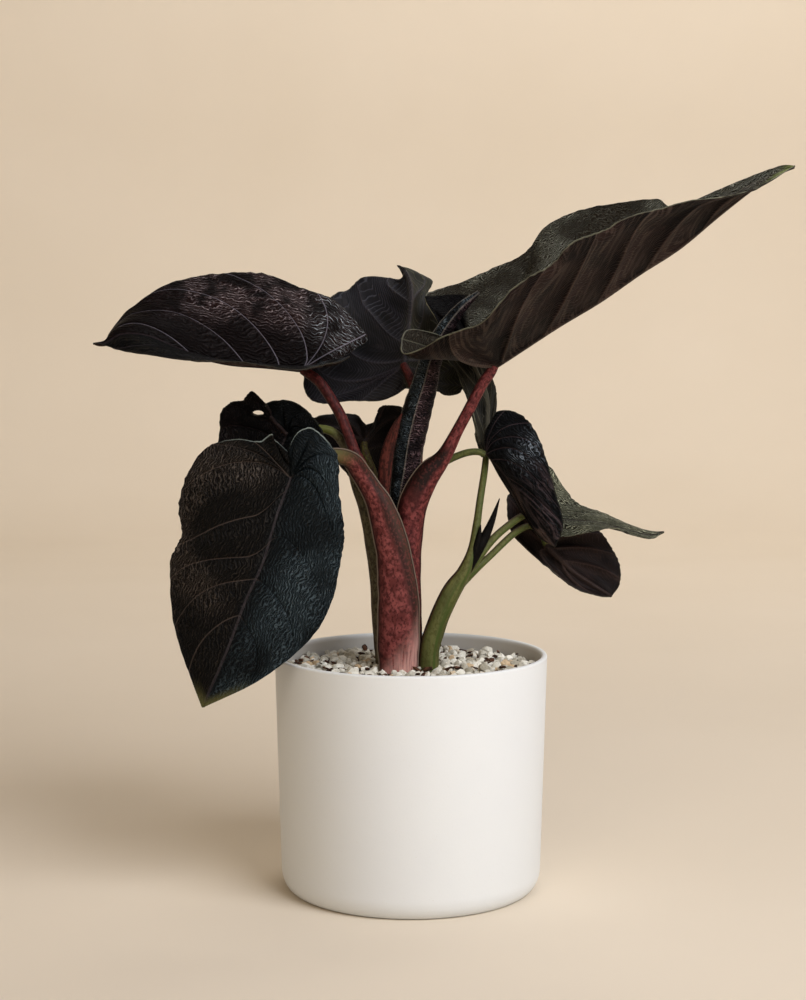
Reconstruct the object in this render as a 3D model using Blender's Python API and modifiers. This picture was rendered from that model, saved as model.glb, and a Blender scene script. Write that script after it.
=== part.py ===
# Potted elephant ear: a dark leaved house plant in a plain white pot with pumice on its mix.
# Lengths below are in millimetres and become metres as the meshes are made.
# The origin is the middle of the pot's flat foot, +Z is up and -Y is the front.
import math
import random

import bmesh
import bpy
from mathutils import Matrix, Vector
from mathutils.bvhtree import BVHTree

MM = 0.001
GAP = 0.3

POT_HEIGHT = 130.0
POT_TOP_RADIUS = 75.0
POT_FOOT_RADIUS = 71.5
POT_WALL = 3.0
POT_FLOOR = 6.0
POT_FOOT_ROUNDING = 6.0
POT_INSIDE_ROUNDING = 5.0
POT_RIM_ROUNDING = 1.2
POT_STEPS = 56

MIX_TOP = 118.0
MIX_FOOT_ROUNDING = 6.0
GRIT_BED_TOP = 121.0
GRAIN_COUNT = 115
GRAIN_SIZE = (4.0, 5.2)
GRAIN_LIFT = (0.4, 2.4)
GRAIN_SEED = 7
GOLDEN_ANGLE = math.pi * (3 - math.sqrt(5))

BLADE_THICKNESS = 0.8
BLADE_COLUMNS = 20
BLADE_ROWS = 6
POINT_MERGE = 0.05
# The hole where the lobes of the leaf behind the front one close over their notch.
LOBE_HOLE = ((-82, -19, 263), (3.3, 12, 1.6))

# Stalks are tubes of oval rings whose last stretch narrows to the spot where the blade sits.
STALK_SIDES = 10
STALK_RINGS = 16
STALK_FOOT = 109.0
STALK_TIP_RADIUS = 0.6
STALK_TAPER = 6.0
STALK_TAPER_GROWTH = 2.4
END_SEARCH_START = 0.8
END_SEARCH_STEP = 0.0005
HOLE_REACH = 9.0
HOLE_SAMPLES = 80

# Where a rib leaves the spine, against how far round the margin it ends.
# -1 is the notch between the lobes, 0 the top of the stalk and 1 the tip.
RIB_ENDS = (0.0, 0.125, 0.25, 0.375, 0.5, 0.625, 0.75, 0.875, 1.0)
RIB_ROOTS = (-1.0, -0.45, 0.0, 0.0, 0.10, 0.28, 0.50, 0.74, 1.0)

# Each blade: its spine from the notch through the stalk's top to the tip, and the margin of its
# right and left halves from the notch round the lobe to the tip, seen on the upper face.
# belly is how far each half swells to its upper face, and wave the height and number of its waves.
BLADES = {
    "blade_left": dict(
        spine=[(-49, 4, 291), (-59, 2, 286), (-79, -2, 288), (-101, -6, 290), (-122, -10, 296),
               (-141, -12, 304), (-155, -13, 305), (-164, -14, 300), (-171, -14, 300)],
        right=[(-40, 9, 292), (-30, 12, 298), (-24, 15, 303), (-32, 19, 313), (-44, 22, 325),
               (-62, 23, 331), (-83, 24, 339), (-105, 23, 340), (-132, 18, 333), (-155, 7, 319),
               (-163, -5, 306)],
        left=[(-45, -5, 288), (-37, -12, 290), (-33, -20, 293), (-39, -29, 290), (-49, -37, 286),
              (-62, -43, 284), (-83, -47, 287), (-105, -47, 290), (-129, -41, 292),
              (-149, -30, 295), (-161, -20, 298)],
        belly=(4, 2), wave=(0.8, 5), colour="black_leaf"),
    "blade_right": dict(
        spine=[(33, 2, 291), (45, 0, 288), (59, 1, 297), (81, 4, 311), (103, 6, 324), (125, 9, 339),
               (147, 11, 353), (169, 13, 371), (190, 15, 387), (203, 16, 394), (211, 16, 397)],
        right=[(16, -12, 291), (-2, -22, 296), (-3, -33, 303), (13, -40, 299), (37, -44, 311),
               (55, -46, 329), (76, -44, 345), (94, -40, 355), (114, -34, 366), (146, -22, 375),
               (180, -2, 381)],
        left=[(23, 12, 299), (14, 20, 314), (8, 28, 326), (16, 34, 330), (37, 38, 338),
              (62, 40, 349), (77, 41, 366), (105, 40, 377), (136, 33, 380), (147, 28, 376),
              (179, 22, 388), (202, 18, 397)],
        belly=(-4, -3), wave=(0.8, 7), colour="brown_leaf"),
    "blade_back": dict(
        spine=[(-3, 24, 275), (-4, 23, 288), (-2, 28, 305), (0, 36, 322), (0, 46, 333),
               (-3, 53, 341), (-8, 56, 345)],
        right=[(-9, 24, 271), (-18, 24, 268), (-34, 25, 268), (-52, 28, 267), (-60, 32, 275),
               (-58, 38, 298), (-46, 45, 325), (-36, 50, 331), (-28, 54, 338), (-14, 57, 338),
               (-5, 57, 337)],
        left=[(5, 26, 274), (15, 26, 273), (22, 27, 271), (29, 30, 274), (30, 34, 285),
              (23, 42, 305), (14, 47, 318), (9, 51, 327), (13, 58, 336), (5, 60, 341),
              (-3, 59, 344)],
        belly=(3, 2), wave=(0.8, 5), colour="black_leaf"),
    "blade_front": dict(
        spine=[(-64, -46, 243), (-63, -48, 230), (-70, -54, 211), (-77, -59, 187), (-86, -62, 167),
               (-95, -63, 143), (-109, -60, 111)],
        right=[(-70, -46, 249), (-73, -45, 253), (-80, -44, 249), (-92, -43, 250),
               (-107, -43, 246), (-117, -44, 232), (-122, -46, 214), (-120, -48, 200),
               (-126, -50, 185), (-124, -55, 155), (-115, -60, 128)],
        left=[(-62, -46, 250), (-58, -45, 255), (-52, -43, 256), (-45, -41, 250), (-39, -39, 240),
              (-38, -38, 223), (-36, -40, 202), (-37, -43, 187), (-42, -47, 165),
              (-54, -52, 145), (-78, -58, 126)],
        belly=(4, 4), wave=(1.0, 5), colour="black_leaf"),
    "blade_behind_front": dict(
        spine=[(-81, -17, 261), (-67, -15, 251), (-75, -20, 232), (-83, -25, 211), (-93, -28, 190),
               (-106, -28, 167)],
        right=[(-85, -18, 263), (-80, -20, 265), (-78, -21, 269), (-85, -21, 275),
               (-90, -20, 270), (-96, -20, 269), (-102, -21, 263), (-103, -22, 250),
               (-109, -24, 227), (-112, -27, 203), (-110, -29, 182)],
        left=[(-78, -16, 263), (-78, -16, 268), (-70, -17, 270), (-61, -16, 268), (-52, -15, 260),
              (-47, -13, 250), (-48, -13, 237), (-51, -15, 220), (-60, -18, 203),
              (-72, -22, 187), (-88, -26, 174)],
        belly=(2, 3), wave=(0.8, 5), colour="black_leaf"),
    "blade_low_back": dict(
        spine=[(-25, 24, 255), (-26, 20, 245), (-24, 27, 232), (-21, 38, 217), (-13, 58, 193)],
        right=[(-21, 25, 257), (-18, 25, 264), (-12, 24, 266), (-3, 24, 263), (3, 28, 246),
               (2, 36, 229), (-2, 44, 214), (-6, 52, 202)],
        left=[(-27, 25, 257), (-31, 26, 261), (-43, 24, 261), (-55, 22, 258), (-52, 26, 246),
              (-41, 34, 232), (-32, 42, 218), (-25, 50, 205)],
        belly=(3, 3), wave=(0.8, 4), colour="black_leaf"),
    "blade_strip": dict(
        spine=[(41, 17, 235), (41, 18, 238), (42, 20, 255), (42, 22, 270), (37, 26, 283),
               (31, 30, 295), (25, 32, 305)],
        right=[(40, 16, 240), (36, 13, 249), (35, 12, 260), (31, 15, 273), (26, 19, 283),
               (21, 23, 291), (20, 28, 299)],
        left=[(43, 21, 240), (46, 24, 249), (48, 28, 262), (48, 32, 273), (46, 34, 282),
              (40, 35, 292), (32, 34, 301)],
        belly=(1, 1), wave=(0.6, 3), colour="green_leaf"),
    "blade_folded": dict(
        spine=[(43, 9, 246), (41, 8, 239), (49, 6, 231), (58, 4, 219), (67, 4, 205), (75, 6, 195),
               (80, 8, 188)],
        right=[(45, 12, 249), (48, 14, 246), (51, 14, 234), (54, 12, 222), (60, 11, 211),
               (65, 10, 201), (73, 9, 192)],
        left=[(45, 8, 254), (48, 6, 263), (59, 2, 262), (68, -1, 253), (74, -2, 237), (80, 0, 217),
              (84, 3, 201)],
        belly=(1, 4), wave=(0.8, 4), colour="black_leaf"),
    "blade_curled": dict(
        spine=[(66, 20, 213), (68, 18, 206), (83, 18, 202), (100, 18, 201), (117, 19, 197),
               (133, 20, 193), (142, 20, 195)],
        right=[(67, 14, 201), (72, 12, 195), (85, 10, 193), (100, 10, 196), (113, 12, 197),
               (125, 16, 193), (135, 18, 191)],
        left=[(67, 22, 221), (76, 24, 232), (85, 26, 221), (94, 26, 210), (109, 25, 205),
              (123, 24, 198), (135, 22, 195)],
        belly=(1, 2), wave=(0.5, 4), colour="green_leaf"),
    "blade_lowest": dict(
        spine=[(72, 25, 201), (76, 24, 187), (84, 25, 179), (94, 27, 170), (114, 30, 157)],
        right=[(81, 30, 208), (91, 34, 203), (102, 36, 198), (109, 36, 192), (115, 36, 184),
               (119, 35, 174), (119, 33, 164)],
        left=[(66, 27, 212), (56, 28, 216), (54, 26, 208), (58, 22, 193), (75, 20, 176),
              (93, 22, 163), (106, 26, 158)],
        belly=(2, 2), wave=(0.8, 4), colour="brown_leaf"),
}

# Each stalk: points of its route with its half width across the view and half depth along it.
STALKS = {
    "stalk_front": dict(
        blade="blade_front", colour="red_stalk",
        route=[(-7, -15, 124, 10.0, 4.5), (-7, -15, 139, 11.0, 4.6), (-7, -15, 161, 10.5, 4.6),
               (-9, -14.5, 183, 9.0, 4.5), (-12.5, -14, 199, 8.0, 4.4), (-17, -14, 213, 6.5, 4.3),
               (-22, -14, 222, 5.2, 4.2), (-27, -15, 230, 4.8, 4.1), (-32, -19, 237, 4.3, 3.9),
               (-40, -26, 240, 3.8, 3.6), (-51, -36, 239, 3.2, 3.0), (-63, -47, 231, 2.6, 2.5)]),
    "stalk_behind_front": dict(
        blade="blade_behind_front", colour="olive_stalk",
        route=[(-15, 3, 121, 4.5, 4.5), (-17, 3, 148, 4.6, 4.6), (-18, 3, 168, 4.7, 4.7),
               (-20.5, 3, 189, 4.7, 4.7), (-24, 3, 209, 4.7, 4.7), (-29, 3, 224, 4.3, 4.2),
               (-33, 3, 237, 3.2, 3.2), (-37.5, 2, 246, 2.6, 2.6), (-43, -1, 252, 2.4, 2.4),
               (-51, -5, 254, 2.2, 2.2), (-60, -10, 253, 2.0, 2.0), (-67, -14.5, 251, 1.8, 1.8)]),
    "stalk_left": dict(
        blade="blade_left", colour="red_stalk",
        route=[(-11.5, -5, 122, 3.2, 3.2), (-12.5, -5, 154, 3.2, 3.2), (-15, -5, 182, 3.2, 3.2),
               (-18, -5, 204, 3.2, 3.2), (-22.5, -5, 220.5, 3.1, 3.1), (-27, -5, 234, 3.1, 3.1),
               (-31, -4.5, 242, 3.0, 3.0), (-37.5, -3, 259, 3.0, 3.0), (-43, -1, 269, 2.9, 2.9),
               (-50, 0, 279, 2.9, 2.9), (-59, 2, 286, 2.8, 2.8)]),
    "stalk_right": dict(
        blade="blade_right", colour="red_stalk",
        route=[(-1, -2, 122, 7.0, 7.0), (-1.5, -2, 149, 7.0, 7.0), (-2, -2, 171, 7.0, 7.0),
               (-1.5, -2, 187, 7.0, 7.0), (-0.5, -2, 201, 7.2, 7.0), (1, -2, 212, 7.6, 6.8),
               (5.5, -2, 222, 7.2, 6.2), (10.5, -2, 230, 6.4, 5.4), (17.5, -2, 238, 4.4, 4.2),
               (25, -1.5, 252, 3.2, 3.3), (32.5, -1, 266, 3.1, 3.1), (38.5, -0.5, 277.5, 3.1, 3.1),
               (43, 0, 284, 3.0, 3.0), (45, 0, 288, 2.8, 2.8)]),
    "stalk_back": dict(
        blade="blade_back", colour="red_stalk",
        route=[(-2, 14.5, 119, 3.0, 3.0), (-2, 15, 157, 3.0, 3.0), (0, 16, 191, 3.0, 3.0),
               (3, 16.5, 224, 3.0, 3.0), (4, 18, 258, 2.9, 2.9), (2, 16.5, 273, 2.7, 2.7),
               (-1, 17, 282, 2.5, 2.5), (-4, 23, 288, 2.2, 2.2)]),
    "stalk_low_back": dict(
        blade="blade_low_back", colour="olive_stalk",
        route=[(-12, 14, 119, 2.8, 2.8), (-14, 15, 157, 2.8, 2.8), (-17, 15, 191, 2.7, 2.7),
               (-20.5, 15, 224.5, 2.6, 2.6), (-24, 15.5, 236, 2.3, 2.3),
               (-26, 17, 242, 2.0, 2.0), (-26, 20, 245, 1.7, 1.7)]),
    "stalk_folded": dict(
        blade="blade_folded", colour="green_stalk",
        route=[(2.5, 8.5, 120, 2.3, 2.3), (0.5, 8.5, 158, 2.3, 2.3), (0.5, 9, 192, 2.2, 2.2),
               (3.5, 9.5, 211, 2.2, 2.2), (8, 9.5, 222, 2.1, 2.1), (15, 9.5, 232, 2.1, 2.1),
               (23, 9.5, 237, 2.0, 2.0), (31, 9, 240, 2.0, 2.0), (37, 8.5, 240.5, 1.9, 1.9),
               (41, 8, 239, 1.8, 1.8)]),
}

# The young leaf is still rolled round itself, so it and its stalk are one tapering scroll.
YOUNG_LEAF = [(-7, 8, 120, 3.2, 3.2), (-7, 8, 158, 3.2, 3.2), (-7, 8, 192, 3.4, 3.4),
              (-6, 7.5, 214, 5.0, 4.4), (-3, 6.5, 231, 7.0, 5.8), (-0.5, 5.5, 247, 7.8, 6.2),
              (3.5, 4.5, 264, 7.6, 6.0), (7.5, 3.5, 277.5, 6.6, 5.4), (11, 3, 291, 5.4, 4.6),
              (17.5, 3.5, 306, 4.2, 3.6), (27, 4.5, 319, 2.6, 2.4), (37, 6, 328, 0.6, 0.6)]
# The dry sheath that the young leaf grew out of, from its point down to the young leaf's stalk.
SHEATH_SPIKE = [(-5, -3, 262, 0.6, 0.6), (-9, -2, 253, 2.2, 1.1), (-12.5, -1, 242, 3.2, 1.4),
                (-14.5, 0, 227, 3.4, 1.5), (-14.5, 1.5, 214, 2.6, 1.4), (-12, 4, 205, 2.0, 1.3),
                (-7, 8, 197, 1.6, 1.2)]

SIDE_STEM = [(9.5, -11, 123, 5.7, 5.7), (10.5, -11, 136, 5.6, 5.6), (16, -10, 152.5, 5.4, 5.2),
             (22.5, -9, 166, 5.2, 5.0), (29, -8, 176, 3.8, 3.8), (33.5, -6, 187.5, 2.7, 2.7),
             (36, -2, 201, 2.2, 2.2), (38, 4, 214, 2.0, 2.0), (40.5, 12, 227.5, 1.9, 1.9),
             (42, 18, 238, 1.8, 1.8)]
SIDE_BRANCHES = {
    "blade_curled": [(24, -8.5, 168, 3.4, 3.2), (37.5, -5, 182, 2.5, 2.5), (44.5, 0, 190, 2.2, 2.2),
                     (52, 6, 196, 2.1, 2.1), (61, 13, 203, 2.0, 2.0), (68, 18, 206, 1.8, 1.8)],
    "blade_lowest": [(24, -8.5, 167, 3.2, 3.0), (36.5, -4, 178, 2.2, 2.2), (44, 1, 184, 1.9, 1.9),
                     (51.5, 7, 190.5, 1.9, 1.9), (59, 13, 196, 1.9, 1.9), (66.5, 18, 198.5, 1.8, 1.8),
                     (72.5, 21, 195, 1.7, 1.7), (76, 24, 187, 1.6, 1.6)],
}
SIDE_SPEAR = [(28, -8.5, 172, 2.6, 2.4), (36, -7, 187, 3.0, 1.8), (40.5, -5, 195, 2.6, 1.5),
              (44.5, -3, 204, 1.7, 1.2), (48.5, -1, 215.5, 0.6, 0.6)]

# Colour (linear red, green, blue) and roughness of each material.
COLOURS = {
    "white_pot": ((0.78, 0.75, 0.70), 0.6),
    "pumice": ((0.62, 0.58, 0.52), 0.9),
    "bark_mix": ((0.07, 0.04, 0.03), 0.95),
    "black_leaf": ((0.010, 0.014, 0.014), 0.35),
    "brown_leaf": ((0.035, 0.020, 0.018), 0.5),
    "green_leaf": ((0.070, 0.085, 0.055), 0.5),
    "red_stalk": ((0.22, 0.045, 0.045), 0.5),
    "olive_stalk": ((0.13, 0.11, 0.05), 0.5),
    "green_stalk": ((0.11, 0.14, 0.04), 0.5),
}


def clear_scene():
    for old in list(bpy.data.objects):
        bpy.data.objects.remove(old)


def new_collection(name):
    collection = bpy.data.collections.new(name)
    bpy.context.scene.collection.children.link(collection)
    return collection


def make_material(name):
    colour, roughness = COLOURS[name]
    material = bpy.data.materials.new(name)
    material.use_nodes = True
    surface = material.node_tree.nodes["Principled BSDF"]
    surface.inputs["Base Color"].default_value = (*colour, 1.0)
    surface.inputs["Roughness"].default_value = roughness
    surface.inputs["Metallic"].default_value = 0.0
    return material


def add_object(name, bm, material, collection):
    bmesh.ops.scale(bm, vec=(MM, MM, MM), verts=bm.verts)
    mesh = bpy.data.meshes.new(name)
    bm.to_mesh(mesh)
    bm.free()
    obj = bpy.data.objects.new(name, mesh)
    collection.objects.link(obj)
    if material:
        mesh.materials.append(material)
    return obj


def add_cutter(name, bm, collection):
    cutter = add_object(name, bm, None, collection)
    cutter.hide_render = True
    cutter.display_type = "WIRE"
    return cutter


def boolean(obj, operation, other=None, collection=None):
    modifier = obj.modifiers.new(operation.lower(), "BOOLEAN")
    modifier.operation = operation
    modifier.solver = "EXACT"
    if collection:
        modifier.operand_type = "COLLECTION"
        modifier.collection = collection
    else:
        modifier.object = other
    return modifier


def apply_modifiers(obj):
    depsgraph = bpy.context.evaluated_depsgraph_get()
    mesh = bpy.data.meshes.new_from_object(obj.evaluated_get(depsgraph))
    obj.modifiers.clear()
    obj.data = mesh


def along(points, place):
    """Point of the smooth curve through the points, at a place from 0 to 1."""
    last = len(points) - 1
    place = min(max(place, 0.0), 1.0) * last
    index = min(int(place), last - 1)
    t = place - index
    p1 = points[index]
    p2 = points[index + 1]
    p0 = points[index - 1] if index else p1 * 2 - p2
    p3 = points[index + 2] if index + 2 <= last else p2 * 2 - p1
    return 0.5 * (2 * p1 + (p2 - p0) * t + (2 * p0 - 5 * p1 + 4 * p2 - p3) * t * t
                  + (3 * p1 - p0 - 3 * p2 + p3) * t * t * t)


def rib_root(place):
    """Where on the spine the rib that ends at this place of the margin begins."""
    for start, end, low, high in zip(RIB_ENDS, RIB_ENDS[1:], RIB_ROOTS, RIB_ROOTS[1:]):
        if place <= end:
            return low + (high - low) * (place - start) / (end - start)
    return 1.0


def blade_point(blade, place, across):
    """Point of a blade: place runs from notch to tip, across from -1 (right) to 1 (left)."""
    spine = [Vector(p) for p in blade["spine"]]
    side = "left" if across > 0 else "right"
    margin = [spine[0]] + [Vector(p) for p in blade[side]] + [spine[-1]]
    root_place = rib_root(place)
    if root_place < 0:
        root = spine[1].lerp(spine[0], -root_place)
    else:
        root = along(spine[1:], root_place)
    end = along(margin, place)
    width = abs(across)
    rib = end - root
    step = along(margin, place + 0.01) - along(margin, place - 0.01)
    up = rib.cross(step)
    if side == "left":
        up = -up
    up.normalize()
    belly = blade["belly"][0 if side == "right" else 1]
    height, count = blade["wave"]
    fade = math.sin(math.pi * place)
    swell = belly * fade * 4 * width * (1 - width)
    ripple = height * fade * width ** 3 * math.sin(2 * math.pi * count * place + 1.7 * across)
    return root + rib * width + up * (swell + ripple)


def make_blade(name, material, collection):
    bm = bmesh.new()
    bmesh.ops.create_grid(bm, x_segments=BLADE_COLUMNS, y_segments=BLADE_ROWS, size=1.0)
    for vert in bm.verts:
        vert.co = blade_point(BLADES[name], (vert.co.x + 1) / 2, vert.co.y)
    bmesh.ops.remove_doubles(bm, verts=bm.verts, dist=POINT_MERGE)
    bmesh.ops.triangulate(bm, faces=bm.faces)
    middle = BVHTree.FromBMesh(bm)
    obj = add_object(name, bm, material, collection)
    solidify = obj.modifiers.new("thickness", "SOLIDIFY")
    solidify.thickness = BLADE_THICKNESS * MM
    solidify.offset = 0.0
    return middle


def cut_lobe_hole(blade, collection):
    centre, size = LOBE_HOLE
    bm = bmesh.new()
    bmesh.ops.create_icosphere(bm, subdivisions=2, radius=1.0)
    bmesh.ops.scale(bm, vec=size, verts=bm.verts)
    bmesh.ops.translate(bm, vec=centre, verts=bm.verts)
    boolean(blade, "DIFFERENCE", other=add_cutter("lobe_hole", bm, collection))


def split_route(route):
    return [Vector(p[:3]) for p in route], [Vector((p[3], p[4], 0)) for p in route]


def stations(route, count, carried=None):
    """Centres, half widths and depths along a route, stopping just short of what it carries."""
    centres, sizes = split_route(route)
    end = 1.0
    if carried:
        clear = BLADE_THICKNESS / 2 + GAP + STALK_TIP_RADIUS
        end = END_SEARCH_START
        while end < 1.0 and carried.find_nearest(along(centres, end))[3] > clear:
            end += END_SEARCH_STEP
    places = [end * i / count for i in range(count + 1)]
    points = [along(centres, place) for place in places]
    radii = [along(sizes, place) for place in places]
    if carried:
        left = 0.0
        for i in range(count, 0, -1):
            limit = STALK_TIP_RADIUS + left * STALK_TAPER_GROWTH / STALK_TAPER
            radii[i] = Vector((min(radii[i].x, limit), min(radii[i].y, limit), 0))
            left += (points[i] - points[i - 1]).length
            if left > STALK_TAPER:
                break
    return points, radii


def tube(points, radii, extra=0.0, sides=STALK_SIDES):
    """Closed tube of oval sections, from a ring that is extruded along the points."""
    bm = bmesh.new()
    ring = bmesh.ops.create_circle(bm, segments=sides, radius=1.0, cap_ends=False)["verts"]
    rings = [ring]
    for _ in points[1:]:
        edges = [e for e in bm.edges if all(v in rings[-1] for v in e.verts)]
        made = bmesh.ops.extrude_edge_only(bm, edges=edges)["geom"]
        rings.append([g for g in made if isinstance(g, bmesh.types.BMVert)])
    for index, ring in enumerate(rings):
        ahead = points[min(index + 1, len(points) - 1)]
        behind = points[max(index - 1, 0)]
        heading = (ahead - behind).normalized()
        front = Vector((0, -1, 0))
        front = (front - heading * front.dot(heading)).normalized()
        side = front.cross(heading)
        for vert in ring:
            width = radii[index].x + extra
            depth = radii[index].y + extra
            flat = vert.co.copy()
            vert.co = points[index] + side * (flat.x * width) + front * (flat.y * depth)
    bmesh.ops.holes_fill(bm, edges=bm.edges)
    bmesh.ops.recalc_face_normals(bm, faces=bm.faces)
    return bm


def sunk(route):
    """The route with a straight foot that stands in the mix."""
    x, y, _, width, depth = route[0]
    return [(x, y, STALK_FOOT, width, depth)] + route


def foot_cutter(name, route, collection):
    """A plain hole round the foot of a stalk, with the usual gap on every side."""
    points, radii = stations(sunk(route), HOLE_SAMPLES)
    count = sum(p.z < GRIT_BED_TOP + HOLE_REACH for p in points)
    picks = [0, count // 3, 2 * count // 3, count]
    below = [points[i] for i in picks]
    below[0] = below[0] - Vector((0, 0, GAP))
    add_cutter(name, tube(below, [radii[i] for i in picks], extra=GAP), collection)


def pot_radius(height):
    return POT_FOOT_RADIUS + (POT_TOP_RADIUS - POT_FOOT_RADIUS) * height / POT_HEIGHT


def arc(centre_x, centre_z, radius, start, end, steps=5):
    angles = [math.radians(start + (end - start) * i / steps) for i in range(steps + 1)]
    return [(centre_x + radius * math.cos(a), centre_z + radius * math.sin(a)) for a in angles]


def turned(name, profile, material, collection):
    """Body of revolution from a profile that runs down its outer side."""
    bm = bmesh.new()
    verts = [bm.verts.new((x, 0, z)) for x, z in profile]
    for a, b in zip(verts, verts[1:]):
        bm.edges.new((a, b))
    obj = add_object(name, bm, material, collection)
    screw = obj.modifiers.new("turn", "SCREW")
    screw.steps = POT_STEPS
    screw.render_steps = POT_STEPS
    screw.use_merge_vertices = True
    screw.merge_threshold = 0.00001
    screw.use_normal_calculate = True
    return obj


def make_pot(material, collection):
    rim = pot_radius(POT_HEIGHT) - POT_RIM_ROUNDING
    foot = pot_radius(POT_FOOT_ROUNDING) - POT_FOOT_ROUNDING
    inside_top = pot_radius(POT_HEIGHT) - POT_WALL
    inside_low = pot_radius(POT_FLOOR + POT_INSIDE_ROUNDING) - POT_WALL - POT_INSIDE_ROUNDING
    profile = [(0, POT_FLOOR)]
    profile += arc(inside_low, POT_FLOOR + POT_INSIDE_ROUNDING, POT_INSIDE_ROUNDING, -90, 0, 3)
    profile += arc(inside_top + POT_RIM_ROUNDING, POT_HEIGHT - POT_RIM_ROUNDING,
                   POT_RIM_ROUNDING, 180, 90, 2)
    profile += arc(rim, POT_HEIGHT - POT_RIM_ROUNDING, POT_RIM_ROUNDING, 90, 0, 2)
    profile += arc(foot, POT_FOOT_ROUNDING, POT_FOOT_ROUNDING, 0, -90, 4)
    profile += [(0, 0)]
    return turned("pot", profile, material, collection)


def make_mix(material, collection, holes):
    top = pot_radius(MIX_TOP) - POT_WALL - GAP
    bottom = POT_FLOOR + GAP
    low = pot_radius(bottom + MIX_FOOT_ROUNDING) - POT_WALL - GAP - MIX_FOOT_ROUNDING
    profile = [(0, MIX_TOP), (top, MIX_TOP)]
    profile += arc(low, bottom + MIX_FOOT_ROUNDING, MIX_FOOT_ROUNDING, 0, -90, 3)
    profile += [(0, bottom)]
    mix = turned("potting_mix", profile, material, collection)
    boolean(mix, "DIFFERENCE", collection=holes)
    apply_modifiers(mix)


def make_grit(material, collection, holes):
    """Pumice: a thin bed with grains all over it, laid out on a jittered spiral."""
    rng = random.Random(GRAIN_SEED)
    low = MIX_TOP + GAP
    edge = pot_radius(low) - POT_WALL - GAP
    bed = turned("pumice", [(0, GRIT_BED_TOP), (edge, GRIT_BED_TOP), (edge, low), (0, low)],
                 material, collection)
    grains = new_collection("grains")
    for index in range(GRAIN_COUNT):
        size = rng.uniform(*GRAIN_SIZE)
        reach = (edge - size - 0.2) * math.sqrt((index + 0.5) / GRAIN_COUNT)
        turn = index * GOLDEN_ANGLE + rng.uniform(-0.1, 0.1)
        bm = bmesh.new()
        bmesh.ops.create_icosphere(bm, subdivisions=1, radius=size)
        spin = Matrix.Rotation(rng.uniform(0, math.tau), 4, (rng.random(), rng.random(), 1))
        shape = Matrix.Diagonal((1.0, rng.uniform(0.8, 1.0), rng.uniform(0.65, 0.85), 1.0))
        place = Matrix.Translation((reach * math.cos(turn), reach * math.sin(turn),
                                    GRIT_BED_TOP + rng.uniform(*GRAIN_LIFT)))
        bmesh.ops.transform(bm, matrix=place @ shape @ spin, verts=bm.verts)
        add_cutter("grain_%d" % index, bm, grains)
    boolean(bed, "UNION", collection=grains)
    boolean(bed, "DIFFERENCE", collection=holes)
    apply_modifiers(bed)
    for grain in list(grains.objects):
        bpy.data.objects.remove(grain)


def make_side_shoot(material, collection, cutters, middles):
    """The sucker: its stem runs on into one stalk, with two more and a spear grown from it."""
    points, radii = stations(sunk(SIDE_STEM), 18, middles["blade_strip"])
    shoot = add_object("side_shoot", tube(points, radii), material, collection)
    branches = new_collection("branches")
    for name, route in SIDE_BRANCHES.items():
        points, radii = stations(route, 11, middles[name])
        add_cutter("branch_" + name, tube(points, radii, sides=8), branches)
    points, radii = stations(SIDE_SPEAR, 8)
    add_cutter("branch_spear", tube(points, radii, sides=8), branches)
    boolean(shoot, "UNION", collection=branches)
    apply_modifiers(shoot)
    for branch in list(branches.objects):
        bpy.data.objects.remove(branch)


def main():
    clear_scene()
    parts = new_collection("potted_elephant_ear")
    holes = new_collection("holes")
    holes_in_blades = new_collection("blade_holes")
    materials = {name: make_material(name) for name in COLOURS}

    middles = {name: make_blade(name, materials[blade["colour"]], parts)
               for name, blade in BLADES.items()}
    cut_lobe_hole(bpy.data.objects["blade_behind_front"], holes_in_blades)
    for name, stalk in STALKS.items():
        points, radii = stations(sunk(stalk["route"]), STALK_RINGS, middles[stalk["blade"]])
        add_object(name, tube(points, radii), materials[stalk["colour"]], parts)
        foot_cutter("hole_" + name, stalk["route"], holes)
    points, radii = stations(sunk(YOUNG_LEAF), STALK_RINGS)
    scroll = tube(points, radii, sides=12)
    scroll_surface = BVHTree.FromBMesh(scroll)
    add_object("young_leaf", scroll, materials["black_leaf"], parts)
    foot_cutter("hole_young_leaf", YOUNG_LEAF, holes)
    points, radii = stations(SHEATH_SPIKE, 12, scroll_surface)
    add_object("sheath_spike", tube(points, radii, sides=8), materials["red_stalk"], parts)
    make_side_shoot(materials["green_stalk"], parts, holes, middles)
    foot_cutter("hole_side_shoot", SIDE_STEM, holes)

    make_pot(materials["white_pot"], parts)
    make_mix(materials["bark_mix"], parts, holes)
    make_grit(materials["pumice"], parts, holes)


main()
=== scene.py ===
import math
import random
from functools import partial

import bmesh
import bpy
from mathutils import Matrix, Vector, kdtree, noise


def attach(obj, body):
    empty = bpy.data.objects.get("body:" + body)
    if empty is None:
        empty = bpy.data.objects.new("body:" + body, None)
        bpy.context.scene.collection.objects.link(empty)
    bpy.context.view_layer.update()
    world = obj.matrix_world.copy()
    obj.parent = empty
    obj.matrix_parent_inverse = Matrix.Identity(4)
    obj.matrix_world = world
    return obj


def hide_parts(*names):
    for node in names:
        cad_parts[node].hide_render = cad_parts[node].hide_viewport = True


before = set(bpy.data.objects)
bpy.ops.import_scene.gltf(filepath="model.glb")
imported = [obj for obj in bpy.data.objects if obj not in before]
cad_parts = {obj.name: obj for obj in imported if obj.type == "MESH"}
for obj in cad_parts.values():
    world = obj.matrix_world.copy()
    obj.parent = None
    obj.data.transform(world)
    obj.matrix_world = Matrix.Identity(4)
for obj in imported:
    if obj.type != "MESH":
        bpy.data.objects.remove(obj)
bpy.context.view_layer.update()        # the potted elephant ear as built, one body and one mesh for each piece
print("frame loaded:", len(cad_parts), "pieces")

mm = 0.001
scene = bpy.context.scene


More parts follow.
